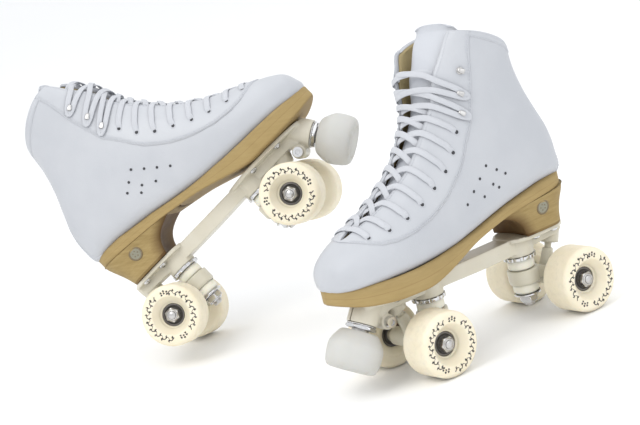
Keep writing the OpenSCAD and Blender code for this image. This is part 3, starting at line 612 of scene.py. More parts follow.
# (slice, distance across the throat), from the top down
EYELETS = [(9.64, 28), (8.79, 30.1), (8.02, 31.7), (7.17, 33), (6.27, 34.2), (5.40, 33.6),
           (4.53, 30.9), (3.68, 24)]
HOOKS = [(13.9, 24.4), (12.29, 24.9), (10.78, 26.3)]
# (slice, angle) of the facing's lower edge
SEAM = np.array([(2.86, 180), (2.9, 172), (3.0, 160), (3.2, 147), (3.5, 133), (4.0, 119),
                 (4.6, 111), (5.5, 106), (6.5, 104.5), (7.6, 105.5), (8.6, 109), (9.5, 116),
                 (10.2, 119), (11.2, 121.5), (12.4, 120), (13.4, 119), (15, 119), (17, 119)])
# (slice, angle) of the punched holes in each side
VENTS = [(9.32, 96), (9.47, 90), (9.57, 87), (8.85, 94), (9.06, 88.2), (9.13, 83),
         (8.41, 92), (8.59, 87), (7.96, 90)]


def rows(u):
    """Station rows at slice numbers u, smoothly interpolated."""
    u = np.atleast_1d(np.asarray(u, float))
    i = np.clip(np.floor(u).astype(int), 0, TOP - 1)
    b, c = STATIONS[i], STATIONS[i + 1]
    a = np.where((i == 0)[:, None], 2 * b - c, STATIONS[np.maximum(i - 1, 0)])
    d = np.where((i == TOP - 1)[:, None], 2 * c - b, STATIONS[np.minimum(i + 2, TOP)])
    out = catmull_rom(a, b, c, d, (u - i)[:, None])
    # the throat starts as a round end, 7 mm either way after one slice
    beyond = u - THROAT_START
    start = 7 * np.sqrt(np.clip(beyond, 0, 1))
    throat = np.where(beyond < 1, start, np.maximum(out[:, THROAT], 0))
    out[:, THROAT] = np.where(beyond < 0, 0, throat)
    out[:, OPEN_X:] = np.maximum(out[:, OPEN_X:], 0)
    out[u < 6, OPEN_X:DIP] = 0
    out[u < 13, DIP] = 0
    out[u < 14, BOW] = 0
    return out


def throat_at(u):
    return rows(u)[0, THROAT]


def section(u, angle, offset, side, opening, flat=False):
    """Points on slices u (n) at angles (n, m), offset inwards.

    side is +1 outer or -1 inner; opening is the share of the shaft's opening applied; flat
    leaves out the dip and the bow.
    """
    (back_x, back_z, front_x, front_z, half_width, widest, low_round, high_round, _, middle,
     open_x, open_y, dip, bow) = rows(u).T[:, :, None]
    if flat:
        dip = bow = 0.0
    toe_inset = np.interp(u, [0, 1, 2, 3, 4], [1.15, 0.9, 0.6, 0.25, 0])[:, None]
    length = np.hypot(front_x - back_x, front_z - back_z)
    dx, dz = (front_x - back_x) / length, (front_z - back_z) / length
    inner_length = np.maximum(length - 2 * offset, 3)
    low = angle < 90
    power = np.where(low, 2 / low_round, 2 / high_round)
    c, s = np.cos(np.radians(angle)), np.sin(np.radians(angle))
    height = np.where(low, widest * (1 - np.maximum(c, 0) ** power),
                      widest + (1 - widest) * np.maximum(-c, 0) ** power)
    y = np.maximum(half_width - offset, 2) * np.maximum(s, 0) ** power
    above = ((height - widest) / (1 - widest)) ** 2
    moved = np.where(height <= widest, 0, above) * opening
    t = (length - inner_length) / 2 + height * inner_length
    return np.stack([back_x + dx * t - toe_inset * offset + moved * open_x,
                     middle + side * y - moved * open_y,
                     back_z + dz * t + 4 * bow * height * (1 - height) - moved * dip], -1)


def side_opening(skate, side):
    return OPENING[skate] if side < 0 else 0.0


def top_angle(u, y):
    """Angle on the upper part of slices u that lies y from the middle."""
    row = rows(u)
    share = np.maximum(y, 0) / np.maximum(row[:, HALF_WIDTH], 2)
    return 180 - np.degrees(np.arcsin(np.clip(share ** (row[:, HIGH_ROUND] / 2), 0, 1)))


def strip(u, start, end, offset, columns, side, skate):
    """Grid between two angles of each slice, evenly spaced along the surface."""
    start, end = (np.broadcast_to(a, u.shape).astype(float)[:, None] for a in (start, end))
    ease = (1 - np.cos(pi * np.linspace(0, 1, 260))) / 2
    middle = np.clip(90, start, end)
    angles = np.concatenate([start + (middle - start) * ease, middle + (end - middle) * ease], 1)
    out = []
    for line in section(u, angles, offset, side, side_opening(skate, side)):
        length = arc_length(line)
        out.append(resample(np.linspace(0, length[-1], columns + 1), length, line))
    return np.array(out)


def skin(u, y, offset, skate, opening=1.0, flat=False):
    """Points at signed distance y across the throat, at a depth of offset."""
    u, y, offset = np.broadcast_arrays(np.atleast_1d(u), y, offset)
    throat = np.maximum(rows(u)[:, THROAT], 0.5)
    share = np.clip((throat - y) / (2 * throat), 0, 1) * opening * OPENING[skate]
    angle = top_angle(u, np.maximum(np.abs(y), 0.02))
    side = np.where(y >= 0, 1, -1)
    columns = (a[:, None] for a in (angle, offset, side, share))
    return section(u, *columns, flat)[:, 0]


def skin_normal(u, y, skate):
    point = skin(u, y, 0, skate)
    along = skin(np.asarray(u) + 0.08, y, 0, skate) - point
    across = skin(u, np.asarray(y) + 0.8, 0, skate) - point
    return unit(np.cross(across, along))


def on_skin(u, angle, side, skate, offset=0.0):
    """Points, normals and directions up the slices at an angle on each slice."""
    def at(u, angle):
        return section(u, angle[:, None], offset, side, side_opening(skate, side))[:, 0]
    along = at(u + 0.05, angle) - at(u - 0.05, angle)
    up = at(u, np.minimum(angle + 0.5, 179.9)) - at(u, np.maximum(angle - 0.5, 0.1))
    return at(u, angle), unit(np.cross(along, up) * side), unit(up)


def seam_angle(u):
    return np.interp(u, *SEAM.T)


def edge_angle(u, margin=0.0):
    """Angle of the throat's edge, moved away from the middle by margin."""
    beyond = u - THROAT_START
    edge = rows(u)[:, THROAT] + margin * np.clip(beyond * 2, 0, 1)
    return top_angle(u, np.where(beyond <= 0, 0, edge))


# ---------------------------------------------------------------- leather pieces
FOLD_STEPS = 5
TOE_RINGS = 4


def fold(outer, inner, direction):
    """Lines of points that round off the edge between an outer and an inner line."""
    middle, half = (outer + inner) / 2, (outer - inner) / 2
    reach = np.linalg.norm(half, axis=1)[:, None]
    return [middle + half * cos(t) + direction * reach * sin(t) * 0.9
            for t in np.linspace(0, pi, FOLD_STEPS + 2)[1:-1]]


def close_toe(grid, bulge):
    """Adds shrinking rings in front of a grid's first line."""
    first = grid[0]
    centre = (first[0] + first[-1]) / 2
    centre[1] = STATIONS[0, MID_Y]
    rings = []
    for share in np.linspace(0, 1, TOE_RINGS, endpoint=False):
        ring = centre + (first - centre) * share
        ring[:, 0] += bulge * (1 - share ** 2)
        rings.append(ring)
    return np.concatenate([np.array(rings), grid])


def shell_quads(ids):
    """Quads of a grid of point numbers, running first along its rows' direction."""
    low, high = ids[:-1], ids[1:]
    quads = np.stack([low[:, :-1], high[:, :-1], high[:, 1:], low[:, 1:]], -1)
    return [tuple(q) for q in quads.reshape(-1, 4).tolist()]


def boot_shell(piece, u, columns, outer_offset, inner_offset, margin=0.0):
    """A sheet of leather round the foot with rounded throat edges and rim."""
    edge = edge_angle(u, margin)
    station = np.concatenate([np.full(TOE_RINGS, -1.0), u])
    for side in (1, -1):
        outer, inner = (
            close_toe(strip(u, 0, edge, offset, columns, side, piece.skate), bulge)
            for offset, bulge in ((outer_offset, 1.6), (inner_offset, 1.0)))
        grow = np.clip((station - THROAT_START) * 2.5, 0, 1)[:, None]
        outward = unit(outer[:, -1] - outer[:, -4]) * grow
        lip = np.stack(fold(outer[:, -1], inner[:, -1], outward), 1)
        rim = np.concatenate(fold(outer[-1], inner[-1], unit(outer[-1] - outer[-3])))
        grid = np.concatenate([outer, lip, inner[:, ::-1]], 1)
        size = grid.shape[1]
        ids = np.arange(len(grid) * size).reshape(-1, size)
        rim_ids = np.vstack([ids[-1, :columns + 1],
                             ids.size + np.arange(len(rim)).reshape(FOLD_STEPS, -1),
                             ids[-1, ::-1][:columns + 1]])
        # ahead of the throat the two sides meet, so there is no lip
        faces = [f for f in shell_quads(ids)
                 if not (columns <= f[0] % size <= columns + FOLD_STEPS
                         and station[f[0] // size] < THROAT_START - 1e-9)]
        faces += shell_quads(rim_ids)
        lip_end = ids[-1, columns + 1:columns + FOLD_STEPS + 1][::-1]
        faces.append(tuple(rim_ids[:, columns].tolist() + lip_end.tolist()))
        piece.add(np.concatenate([grid.reshape(-1, 3), rim]), faces, flip=side < 0)


def add_leaf(piece, u, start, end, offsets, heights, side):
    """A strip of leather laid on the boot; heights scale its rise from edge to edge."""
    outer, inner = (strip(u, start, end, offset, len(heights) - 1, side, piece.skate)
                    for offset in offsets)
    add_sheet(piece, inner + (outer - inner) * np.array(heights)[:, None], inner, side < 0)


def stitch(piece, line, normals, radius):
    """Separate stitches along a line on a surface."""
    spacing, long, lift = 2.9, 2.1, 0.12
    length = arc_length(line)
    count = max(1, int(length[-1] / spacing))
    at = (np.arange(count) + 0.5) * length[-1] / count
    # (place along, thickness), both as shares
    profile = [(-1, 0.0), (-0.9, 0.6), (-0.5, 0.95), (0, 1.05), (0.5, 0.95), (0.9, 0.6),
               (1, 0.0)]
    ends = (resample(at + shift, length, line) for shift in (0, -long / 2, long / 2))
    for middle, normal, start, end in zip(next(ends), resample(at, length, normals), *ends):
        half = np.linalg.norm(end - start) / 2
        tangent = unit(end - start)
        normal = unit(normal)
        across = np.cross(tangent, normal)
        points = []
        for s, thickness in profile:
            rise = normal * (lift - 0.25 * radius * s * s)
            for k in range(6):
                spoke = normal * sin(k * pi / 3) + across * cos(k * pi / 3)
                points.append(middle + tangent * half * s + spoke * radius * thickness + rise)
        piece.add(points, grid_faces(len(profile), 6, wrap=True), flip=True)


def upper_leather(skate):
    u = np.unique(np.concatenate([steps(0, 3, 8), [3.01, 3.03, 3.07, 3.13, 3.22],
                                  steps(3.33, 17, 8)]))
    piece = Piece(skate)
    boot_shell(piece, u, 48, 0.0, LEATHER)
    piece.make("upper_leather", [WHITE], "boot_upper", weld=0.03)


def facing(skate):
    """The raised leather on both sides of the throat."""
    u = np.unique(np.concatenate([
        [2.86, 2.88, 2.92, 2.97, 3.0, 3.04, 3.1, 3.2, 3.35, 3.5], steps(3.6, 17, 8)]))
    start = seam_angle(u)
    end = np.maximum(edge_angle(u, -0.9), start + 0.3)
    heights = [0.62, 0.95] + [1] * 13 + [0.92, 0.5]
    piece = Piece(skate)
    for side in (1, -1):
        add_leaf(piece, u, start, end, (-FACING_LIFT, 0.5), heights, side)
    piece.make("facing", [FACING], weld=0.02)


def stay_angle(u):
    return np.interp(u, [10.6, 12, 15, 17], [30, 20, 16, 18])


def back_stay(skate):
    """The strip up the back of the boot, and the band round the rim."""
    piece = Piece(skate)
    stay_u = steps(10.6, 16.93, 6)
    band_u = np.array([16.62, 16.66, 16.75, 16.85, 16.93, 16.97])
    band_heights = np.array([0.5, 0.95, 1, 1, 0.9, 0.4])[:, None, None]
    for side in (1, -1):
        add_leaf(piece, stay_u, 0, stay_angle(stay_u), (-STAY_LIFT, 0.4), [1] * 8 + [0.55],
                 side)
        outer, inner = (strip(band_u, 0, 122, offset, 30, side, skate)
                        for offset in (-BAND_LIFT, 0.5))
        outer = inner + (outer - inner) * band_heights
        grid = np.concatenate([outer, inner[::-1]], 0)
        size = grid.shape[1]
        total = len(grid) * size
        # the last row joins the first
        faces = [tuple(i % total for i in f) for f in grid_faces(len(grid) + 1, size)]
        piece.add(grid, faces, flip=side > 0)
    piece.make("back_stay", [WHITE], weld=0.02)


def upper_stitching(skate):
    piece = Piece(skate)
    u = np.unique(np.concatenate([[3.02, 3.1, 3.2, 3.35], steps(3.5, 16.9, 10)]))
    stay_u = steps(10.8, 16.6, 8)

    def row(u, angle, offset, radius=0.26, skip=0):
        line, normals, _ = on_skin(u, angle, side, skate, offset)
        stitch(piece, line[skip:], normals[skip:], radius)

    seam = seam_angle(u)
    for side in (1, -1):
        # two rows inside the facing's lower edge
        here = on_skin(u, seam, side, skate)[0]
        above = on_skin(u, np.minimum(seam + 2, 179), side, skate)[0]
        per_degree = np.linalg.norm(above - here, axis=1) / np.minimum(2, 179 - seam)
        for inset in (1.6, 3.4):
            angle = seam + inset / np.maximum(per_degree, 0.05)
            row(u, np.minimum(angle, 178), -FACING_LIFT, radius=0.28)
        # along the throat, round the rim, and up the back stay
        row(u, np.minimum(edge_angle(u, 2.0), 178), -FACING_LIFT, skip=3)
        row(np.full(60, 16.70), np.linspace(24, 118, 60), -BAND_LIFT)
        row(stay_u, stay_angle(stay_u) - 4, -STAY_LIFT)
    piece.make("upper_stitching", [THREAD])


def vent_holes(skate):
    rim = [(1.35, -0.1), (1.9, -0.1), (1.95, 0.08), (1.75, 0.18), (1.5, 0.14), (1.38, 0.02),
           (1.35, -0.1)]
    piece = Piece(skate)
    for side in (1, -1):
        for u, angle in VENTS:
            point, normal, up = on_skin(np.array([u]), np.array([angle]), side, skate)
            turned = frame_on(normal[0], up[0])
            piece.add(*lathe(rim, 20, turned, point[0]))
            piece.add(*lathe([(1.42, 0.05), (0.02, 0.05)], 20, turned, point[0]), material=1)
    piece.make("vent_holes", [WHITE, HOLE])


def lining(skate):
    u = np.unique(np.concatenate([steps(1, 3, 5), [3.05, 3.15], steps(3.3, 16.9, 7)]))
    depth = (5.0 + np.clip((u - 12) / 3, 0, 1) * 0.5
             + 0.35 * np.sin(np.clip((u - 13) / 3.9, 0, 1) * pi))
    piece = Piece(skate)
    boot_shell(piece, u, 40, 2.35, depth[:, None], margin=2.2)
    piece.make("lining_leather", [SHADED_LINING], "boot_lining", weld=0.03)


def footbed(skate):
    """A dished leaf on the bottom of the lining."""
    u = steps(2, 10, 6)
    across = np.linspace(-1, 1, 17)
    angles = np.tile(50 * np.abs(across), (len(u), 1))
    low = section(u, angles, 6.3, np.where(across >= 0, 1, -1), 0.0)
    t = np.linspace(0, 1, 17)[:, None]
    top = low[:, -1:] * t + low[:, :1] * (1 - t)
    top = top + (low - top) * 0.35 * np.sin(pi * t)
    top[:, :, 2] = np.maximum(top[:, :, 2], low[:, :, 2] + 0.5 + 1.6 * np.sin(pi * t[:, 0]))
    piece = Piece(skate)
    add_sheet(piece, low, top, flip=True)
    piece.make("footbed", [INSOLE], "insole")


# ---------------------------------------------------------------- tongue
TONGUE_RISE = {"left": 10.0, "right": 11.0}  # above the top of the throat
TONGUE_OVERLAP = 7.0  # under each side of the throat
TONGUE_OPENING = 0.62  # share of the boot's opening that the tongue follows


def tongue_grid(skate, across, face):
    """Rows up the tongue at places across it (-1 to 1); face is +1 front or -1 back."""
    edge = np.sqrt(np.clip(1 - np.abs(across) ** 9, 0, 1))
    crown = (0.55 + 0.45 * edge) * edge
    droop = 1 - 0.42 * np.abs(across) ** 3
    before, last = STATIONS[-2], STATIONS[-1]
    up = unit(np.array([last[2] - before[2], 0, last[3] - before[3]]))
    # slice, half width, depth, thickness, lift above the last slice
    levels = [(u, throat_at(u) + TONGUE_OVERLAP, 6.3, 3.0 + 0.3 * np.clip(u - 16, 0, 1), 0)
              for u in steps(3.1, TOP, 6)]
    half_top = throat_at(TOP) + TONGUE_OVERLAP
    for g in (0.12, 0.25, 0.4, 0.55, 0.68, 0.78, 0.86, 0.92, 0.96, 0.985, 1.0):
        depth = np.interp(g, [0, 0.35, 0.7, 1], [6.25, 5.9, 3.8, 2.3])
        thickness = np.interp(g, [0, 0.35, 0.7, 0.92, 1], [3.3, 3.6, 4.1, 3.4, 1.2])
        taper = max(0.0, g - 0.15) / 0.85
        half = half_top - 10.0 * (1 - max(0, 1 - taper ** 2.2) ** 0.5)
        levels.append((float(TOP), half, depth, thickness, TONGUE_RISE[skate] * g))
    out = []
    for u, half, depth, thickness, lift in levels:
        offset = depth + thickness / 2 - face * thickness / 2 * crown
        line = skin(np.full(len(across), u), across * half, offset, skate, TONGUE_OPENING,
                    flat=True)
        out.append(line + (lift * droop)[:, None] * up)
    return np.array(out)


def tongue_pad(skate):
    across = np.sin(np.linspace(-1, 1, 29) * pi / 2)
    front, back = (tongue_grid(skate, across, face) for face in (1, -1))
    grid = np.concatenate([front, back[:, -2:0:-1]], 1)
    size = grid.shape[1]
    faces = grid_faces(len(grid), size, wrap=True) + [tuple(range(size))[::-1]]
    # quads close the top edge from front to back
    last = (len(grid) - 1) * size
    for j in range(len(across) - 1):
        a, b = last + j, last + j + 1
        c, d = last + (size - j - 1) % size, last + (size - j) % size
        faces.append((a, b, c, d) if d != a else (a, b, c))
    piece = Piece(skate)
    piece.add(grid, faces)
    piece.make("tongue_pad", [TONGUE], "tongue", weld=0.03)


def forward_normals(a, b):
    """Normals to two directions, on the side that faces the toe."""
    normals = unit(np.cross(a, b))
    return -normals if normals[len(normals) // 2][0] < 0 else normals


def tongue_stitching(skate):
    piece = Piece(skate)
    inset = 0.80
    for side in (1, -1):
        grid = tongue_grid(skate, side * np.array([inset, 0.82, 0.78]), 1)[6:-4]
        line = grid[:, 0]
        normals = forward_normals(grid[:, 1] - grid[:, 2], np.gradient(line, axis=0))
        stitch(piece, line, normals, 0.26)
    grid = tongue_grid(skate, np.linspace(-inset, inset, 25), 1)
    line = grid[-5]
    normals = forward_normals(np.gradient(line, axis=0), grid[-4] - grid[-6])
    stitch(piece, line, normals, 0.26)
    piece.make("tongue_stitching", [THREAD])


# ---------------------------------------------------------------- laces and their hardware
LACE_THICKNESS = 1.25
LACED_HOOKS = {"left": 2, "right": 3}  # pairs of hooks in use, from the lowest up


def facing_frame(u, y, skate):
    """Point on the facing, its normal, and the direction towards the throat."""
    point = skin([u], [y], -FACING_LIFT, skate)[0]
    normal = skin_normal([u], [y], skate)[0]
    inward = skin([u], [y * 0.8], -FACING_LIFT, skate)[0] - point
    return point, normal, unit(inward - normal * np.dot(inward, normal))


def lace_hardware(skate):
    eyelet = [(1.75, -0.2), (2.75, -0.2), (2.8, 0.10), (2.6, 0.34), (2.25, 0.42), (1.9, 0.3),
              (1.75, 0.05), (1.75, -0.2)]
    rivet = [(0.02, -0.3), (3.3, -0.3), (3.45, 0.1), (3.1, 0.45), (1.2, 0.55), (0.7, 0.9),
             (0.02, 1.0)]
    # hook's side view: (towards the throat, above the facing)
    bent = curve([(-2.6, 0.55), (-0.5, 0.6), (1.3, 0.75), (2.35, 1.3), (2.7, 2.2),
                  (2.3, 3.1), (1.1, 3.6), (-0.8, 3.7), (-2.5, 3.75), (-3.4, 4.15)], 5)
    slope = unit(np.gradient(bent, axis=0))
    widths = np.interp(np.linspace(0, 1, len(bent)), [0, 0.3, 0.55, 0.8, 0.95, 1],
                       [4.6, 3.6, 3.0, 4.6, 4.4, 2.6])
    piece = Piece(skate)
    for u, y in EYELETS:
        for side in (1, -1):
            point, normal, inward = facing_frame(u, side * y, skate)
            turned = frame_on(normal, inward)
            piece.add(*lathe(eyelet, 28, turned, point), material=2)
            piece.add(*lathe([(1.85, 0.06), (0.02, 0.06)], 24, turned, point), material=1)
    for u, y in HOOKS:
        for side in (1, -1):
            point, normal, inward = facing_frame(u, side * y, skate)
            piece.add(*lathe(rivet, 28, frame_on(normal, inward), point))
            centres = point + bent[:, :1] * inward + bent[:, 1:] * normal
            normals = -slope[:, 1:] * inward + slope[:, :1] * normal
            points, faces, _, _ = ribbon(centres, normals, widths, 0.8, 10, 3.5)
            piece.add(points, faces)
    piece.make("eyelets_and_hooks", [STEEL, HOLE, FACING], "lace_hardware")


def add_lace(piece, path, width=5.8, count=9):
    """A flat lace through (slice, distance across, height above the skin)."""
    u, y, height = curve(path, count).T
    normals = skin_normal(u, y, piece.skate)
    centres = skin(u, y, 0, piece.skate) + normals * height[:, None]
    length = arc_length(centres)
    at = np.linspace(0, length[-1], max(8, int(length[-1] / 0.9)))
    to_end = np.minimum(at, length[-1] - at)
    widths = width * np.clip(0.5 + to_end / 7.0, 0.5, 1.0)
    points, faces, along, across = ribbon(
        resample(at, length, centres), resample(at, length, normals), widths,
        LACE_THICKNESS, 12, 2.8)
    piece.add(points, faces, ls=along, lw=across * width / 2)


def lacing(skate):
    piece = Piece(skate)
    # straight bar through the front eyelets
    u, y = EYELETS[-1]
    half = [(u, y + 0.1, -1.6), (u, y - 0.2, -0.1), (u, y - 1.2, 1.3), (u, y - 3.4, 1.9),
            (u, y - 8, 2.0), (u, throat_at(u), 1.9)]
    add_lace(piece, half + [(u, 0, 1.4)] + [(u, -y, h) for u, y, h in reversed(half)])
    # crossings from each pair of eyelets to the next; those from the outer side lie on top
    for k in range(len(EYELETS) - 1, 0, -1):
        start = EYELETS[k][0]
        end, y = EYELETS[k - 1]
        start_throat, end_throat = throat_at(start + 0.1), throat_at(end)

        def between(share):
            return start + 0.12 + (end - start - 0.12) * share
        for s in (1, -1):
            add_lace(piece, [
                (start + 0.02, s * (start_throat + 3.5), -3.4),
                (start + 0.08, s * (start_throat + 0.5), -3.2),
                (between(0.08), s * (start_throat - 3), -0.9),
                (between(0.42), 0, 0.5 + 0.75 * s),
                (between(0.72), -s * (end_throat - 2.5), 1.3),
                (between(0.82), -s * (end_throat + 3.5), 2.0),
                (between(0.93), -s * (y - 6), 2.1), (end, -s * (y - 3.2), 1.8),
                (end, -s * (y - 1.2), 1.3), (end, -s * (y - 0.2), -0.1),
                (end, -s * (y + 0.1), -1.6)])
    # from the top eyelets round the hooks, ending behind the facing
    for s in (1, -1):
        u = EYELETS[0][0]
        throat = throat_at(u)
        path = [(u + 0.02, s * (throat + 3.5), -3.4), (u + 0.08, s * (throat + 0.5), -3.2),
                (u + 0.25, s * (throat - 3), -0.9)]
        side, layer, last = s, 0.75 * s, u + 0.3
        for u, y in HOOKS[::-1][:LACED_HOOKS[skate]]:
            side = -side
            throat = throat_at(u)
            rise = u - 0.32 - last
            path += [(last + rise * 0.45, 0, 0.9 + layer),
                     (last + rise * 0.80, side * (throat + 1), 2.4),
                     (u - 0.32, side * (y - 3.2), 3.0), (u - 0.22, side * (y + 0.4), 3.1),
                     (u, side * (y + 2.0), 3.1), (u + 0.20, side * (y + 0.4), 3.1),
                     (u + 0.28, side * (y - 3.2), 3.0), (u + 0.36, side * (throat + 1), 2.4)]
            last = u + 0.45
        u = last + 0.35
        throat = throat_at(u)
        path += [(u - 0.15, side * 8, 1.2 + layer * 0.6), (u, side * 0.5, 1.2 + layer),
                 (u + 0.1, -side * 7, 0.6), (u + 0.02, -side * (throat - 1), -1.6),
                 (u - 0.25, -side * (throat + 2), -3.6)]
        add_lace(piece, path, width=5.4, count=10)
    piece.make("lacing", [LACE], "laces")


# ---------------------------------------------------------------- sole and heel
# (x, half width) of the sole
SOLE_OUTLINE = curve([
    [-111.5, 0], [-108.5, 11], [-102, 20], [-92, 25.8], [-78, 28.3], [-55, 29.3],
    [-28, 30.5], [0, 33], [30, 38], [58, 42.5], [82, 44.5], [104, 43.5], [122, 38.3],
    [136.5, 30], [148, 19], [154.5, 8], [156.8, 0]], 5)
SOLE_OUTLINE[:, 1] = np.maximum(SOLE_OUTLINE[:, 1], 0)
# (x, z) of the sole's underside
SOLE_UNDER = curve([
    [-114, 115], [-86, 112.4], [-58, 110], [-31, 107], [-4, 102], [15, 98], [33, 92.5],
    [58, 84.5], [76, 80.5], [94, 80.2], [112, 80.2], [136, 82], [150, 85.5], [159, 89]], 5)
# (inset, share of the height, "lay" value), from the top edge down
SOLE_EDGE = [
    (8.8, 1.0, 1.0), (8.3, 1.22, 1.0), (6.6, 1.45, 1.0), (4.6, 1.48, 1.0), (3.0, 1.43, 1.0),
    (1.6, 1.35, 1.0), (0.6, 1.27, 1.0), (0.0, 1.13, 0.98), (0.0, 0.94, 0.94), (0.0, 0.8, 0.8),
    (0.12, 0.66, 0.66), (0.0, 0.6, 0.6), (0.0, 0.4, 0.4), (0.0, 0.2, 0.2), (0.0, 0.1, 0.1),
    (0.35, 0.03, 0.03), (1.1, 0.0, 0.0)]
HEEL_BASE = 80
# z, back x, front x, half width
HEEL_LEVELS = curve([
    [HEEL_BASE, -98.6, -50, 26.2], [85, -99.8, -49, 25.3], [91, -101.6, -46.5, 24.9],
    [96.5, -103.6, -42, 25.2], [101, -105.4, -35, 26], [104.5, -106.9, -26, 27],
    [107.5, -108, -16, 28], [111, -109.3, -9, 28.6], [118, -111, -6, 28.8]], 5)
HEEL_MID = -80  # x where the rounded back meets the straight sides


def under(x):
    return np.interp(x, *SOLE_UNDER.T)


def seat(x):
    """Top of the sole, just inside the bottom of the boot."""
    return np.interp(x, STATIONS[11::-1, 0], STATIONS[11::-1, 1] - 0.4)


def sole_middle(x):
    """y of the sole's centre line, which bends inwards towards the toe."""
    back = 0.8 * np.maximum(0, 1 - np.abs(x - 40) / 60)
    front = 0.8 - 5.3 * np.maximum((np.minimum(x, 159) - 40) / 119, 0) ** 1.6
    return np.where(x < 40, back, front)


def shrunk(ring, centre, share, height):
    """A ring drawn in towards a centre, with z given by height(x)."""
    xy = centre + (ring[:, :2] - centre) * share
    return np.column_stack([xy, height(xy[:, 0])])


def sole(skate):
    x, half = SOLE_OUTLINE.T
    middle = sole_middle(x)
    outer = np.stack([x, middle + half], -1)
    inner = np.stack([x, middle - half], -1)[1:-1][::-1]
    outline = np.concatenate([outer, inner])
    along = np.roll(outline, -1, 0) - np.roll(outline, 1, 0)
    outward = unit(np.stack([-along[:, 1], along[:, 0]], -1))
    bottom = under(outline[:, 0])
    thick = seat(outline[:, 0]) - bottom
    edge = []
    for inset, share, _ in SOLE_EDGE:
        height = np.minimum(thick, 9.0) * (share - 1) + thick if share > 1 else thick * share
        edge.append(np.column_stack([outline - outward * inset, bottom + height]))
    spine = np.stack([outline[:, 0], sole_middle(outline[:, 0])], -1)
    top = [shrunk(edge[0], spine, f, seat) for f in np.linspace(0.0, 0.85, 5)]
    base = [shrunk(edge[-1], spine, f, under) for f in np.linspace(0.85, 0.0, 7)]
    rings = top + edge + base
    lay = [0.97] * len(top) + [level for _, _, level in SOLE_EDGE] + [0.05] * len(base)
    dark = [0.0] * len(top + edge) + [0.35] * len(base)
    size = len(outline)
    piece = Piece(skate)
    piece.add(np.concatenate(rings), grid_faces(len(rings), size, wrap=True),
              lay=np.repeat(lay, size), dark=np.repeat(dark, size))
    piece.make("sole_leather", [SOLE], "outsole", weld=0.02)


def heel(skate):
    angles = np.radians(np.linspace(-90, 90, 41))
    t = np.linspace(1, -1, 17)
    # a ring is 41 points round the back, 6 on the outer side, 17 in front, 6 on the inner
    # painted shade on the heel's breast, the front of each ring; the lowest three layers are darkened too
    breast_shade = np.array([0] * 45 + [0.35, 0.75] + [1] * 17 + [0.75, 0.35] + [0] * 4)
    rings, lay, dark = [], [], []
    for i, (z, back_x, front_x, half) in enumerate(HEEL_LEVELS):
        inset = {0: 0.7, 1: 0.2}.get(i, 0.0)
        half -= inset
        round_x = HEEL_MID - (HEEL_MID - back_x - inset) * np.maximum(np.cos(angles), 0) ** 0.8
        back = np.stack([round_x, half * signed_power(np.sin(angles), 0.8)], -1)
        front_line = front_x - 4 * (1 - np.abs(t) ** 2.0) - 0.6 * np.abs(t) ** 8
        front = np.stack([front_line, half * 0.97 * t], -1)
        x = np.linspace(HEEL_MID, front_x, 8)[1:-1]
        narrowing = 1 - 0.03 * np.abs((x - HEEL_MID) / (front_x - HEEL_MID)) ** 3
        side = np.stack([x, half * narrowing], -1)
        ring = np.concatenate([back, side, front, side[::-1] * [1, -1]])
        heights = np.minimum(z, under(ring[:, 0]) - 0.04)
        rings.append(np.column_stack([ring, heights]))
        lay.append((heights - HEEL_BASE) / 33)
        dark.append(breast_shade + (0.55 if i < 3 else 0.0))
    bottom = [shrunk(rings[0], (-74, 0), f, lambda x: np.full(len(x), float(HEEL_BASE)))
              for f in (0.0, 0.5, 0.85)]
    top = [shrunk(rings[-1], (-60, 0), f, lambda x: under(x) - 0.04) for f in (0.85, 0.5, 0.0)]
    size = len(rings[0])
    zeros, ones = np.zeros(size * 3), np.ones(size * 3)
    rings = bottom + rings + top
    piece = Piece(skate)
    piece.add(np.concatenate(rings), grid_faces(len(rings), size, wrap=True),
              lay=np.concatenate([zeros, *lay, ones]),
              dark=np.concatenate([ones, *dark, zeros]))
    piece.make("stacked_heel", [HEEL], "heel", weld=0.02)


def heel_studs(skate):
    """A round stud in each side of the heel, with five small domes on it."""
    stud_x, stud_z = -73, 101
    half = np.interp(stud_z, HEEL_LEVELS[:, 0], HEEL_LEVELS[:, 3])
    piece = Piece(skate)
    for side in (1, -1):
        centre = np.array([stud_x, side * (half - 0.5), stud_z])
        turned = frame_on((0, side, -0.16), (1, 0, 0))
        piece.add(*lathe([(5.4, 0.95), (4.6, 1.1), (0.02, 1.15)], 40, turned, centre))
        rim = [(7.2, -0.6), (7.0, 1.0), (6.4, 1.35), (5.7, 1.3), (5.3, 0.9)]
        piece.add(*lathe(rim, 40, turned, centre), material=1)
        for k in range(5):
            angle = radians(72 * k)
            place = centre + turned @ np.array([2.7 * cos(angle), 2.7 * sin(angle), 1.05])
            dome = [(0.75, 0.0), (0.5, 0.4), (0.02, 0.5)]
            piece.add(*lathe(dome, 10, turned, place), material=1)
    piece.make("heel_studs", [STUD, STUD_RIM])


# ---------------------------------------------------------------- wheels and axles
# Wheel, axle and bearing profiles are (radius, distance from the middle of the skate).
WHEEL_FACE = 59.03
PRINT_RADIUS = 22.7
PRINT_PHASE = ((0.35, 1.9), (2.6, 4.1))  # turn of the print, by [rear][inner]
BEARING_WIDTH = 7


def arc(x, y, radius, start, end, count):
    return [(x + radius * cos(radians(a)), y + radius * sin(radians(a)))
            for a in np.linspace(start, end, count)]


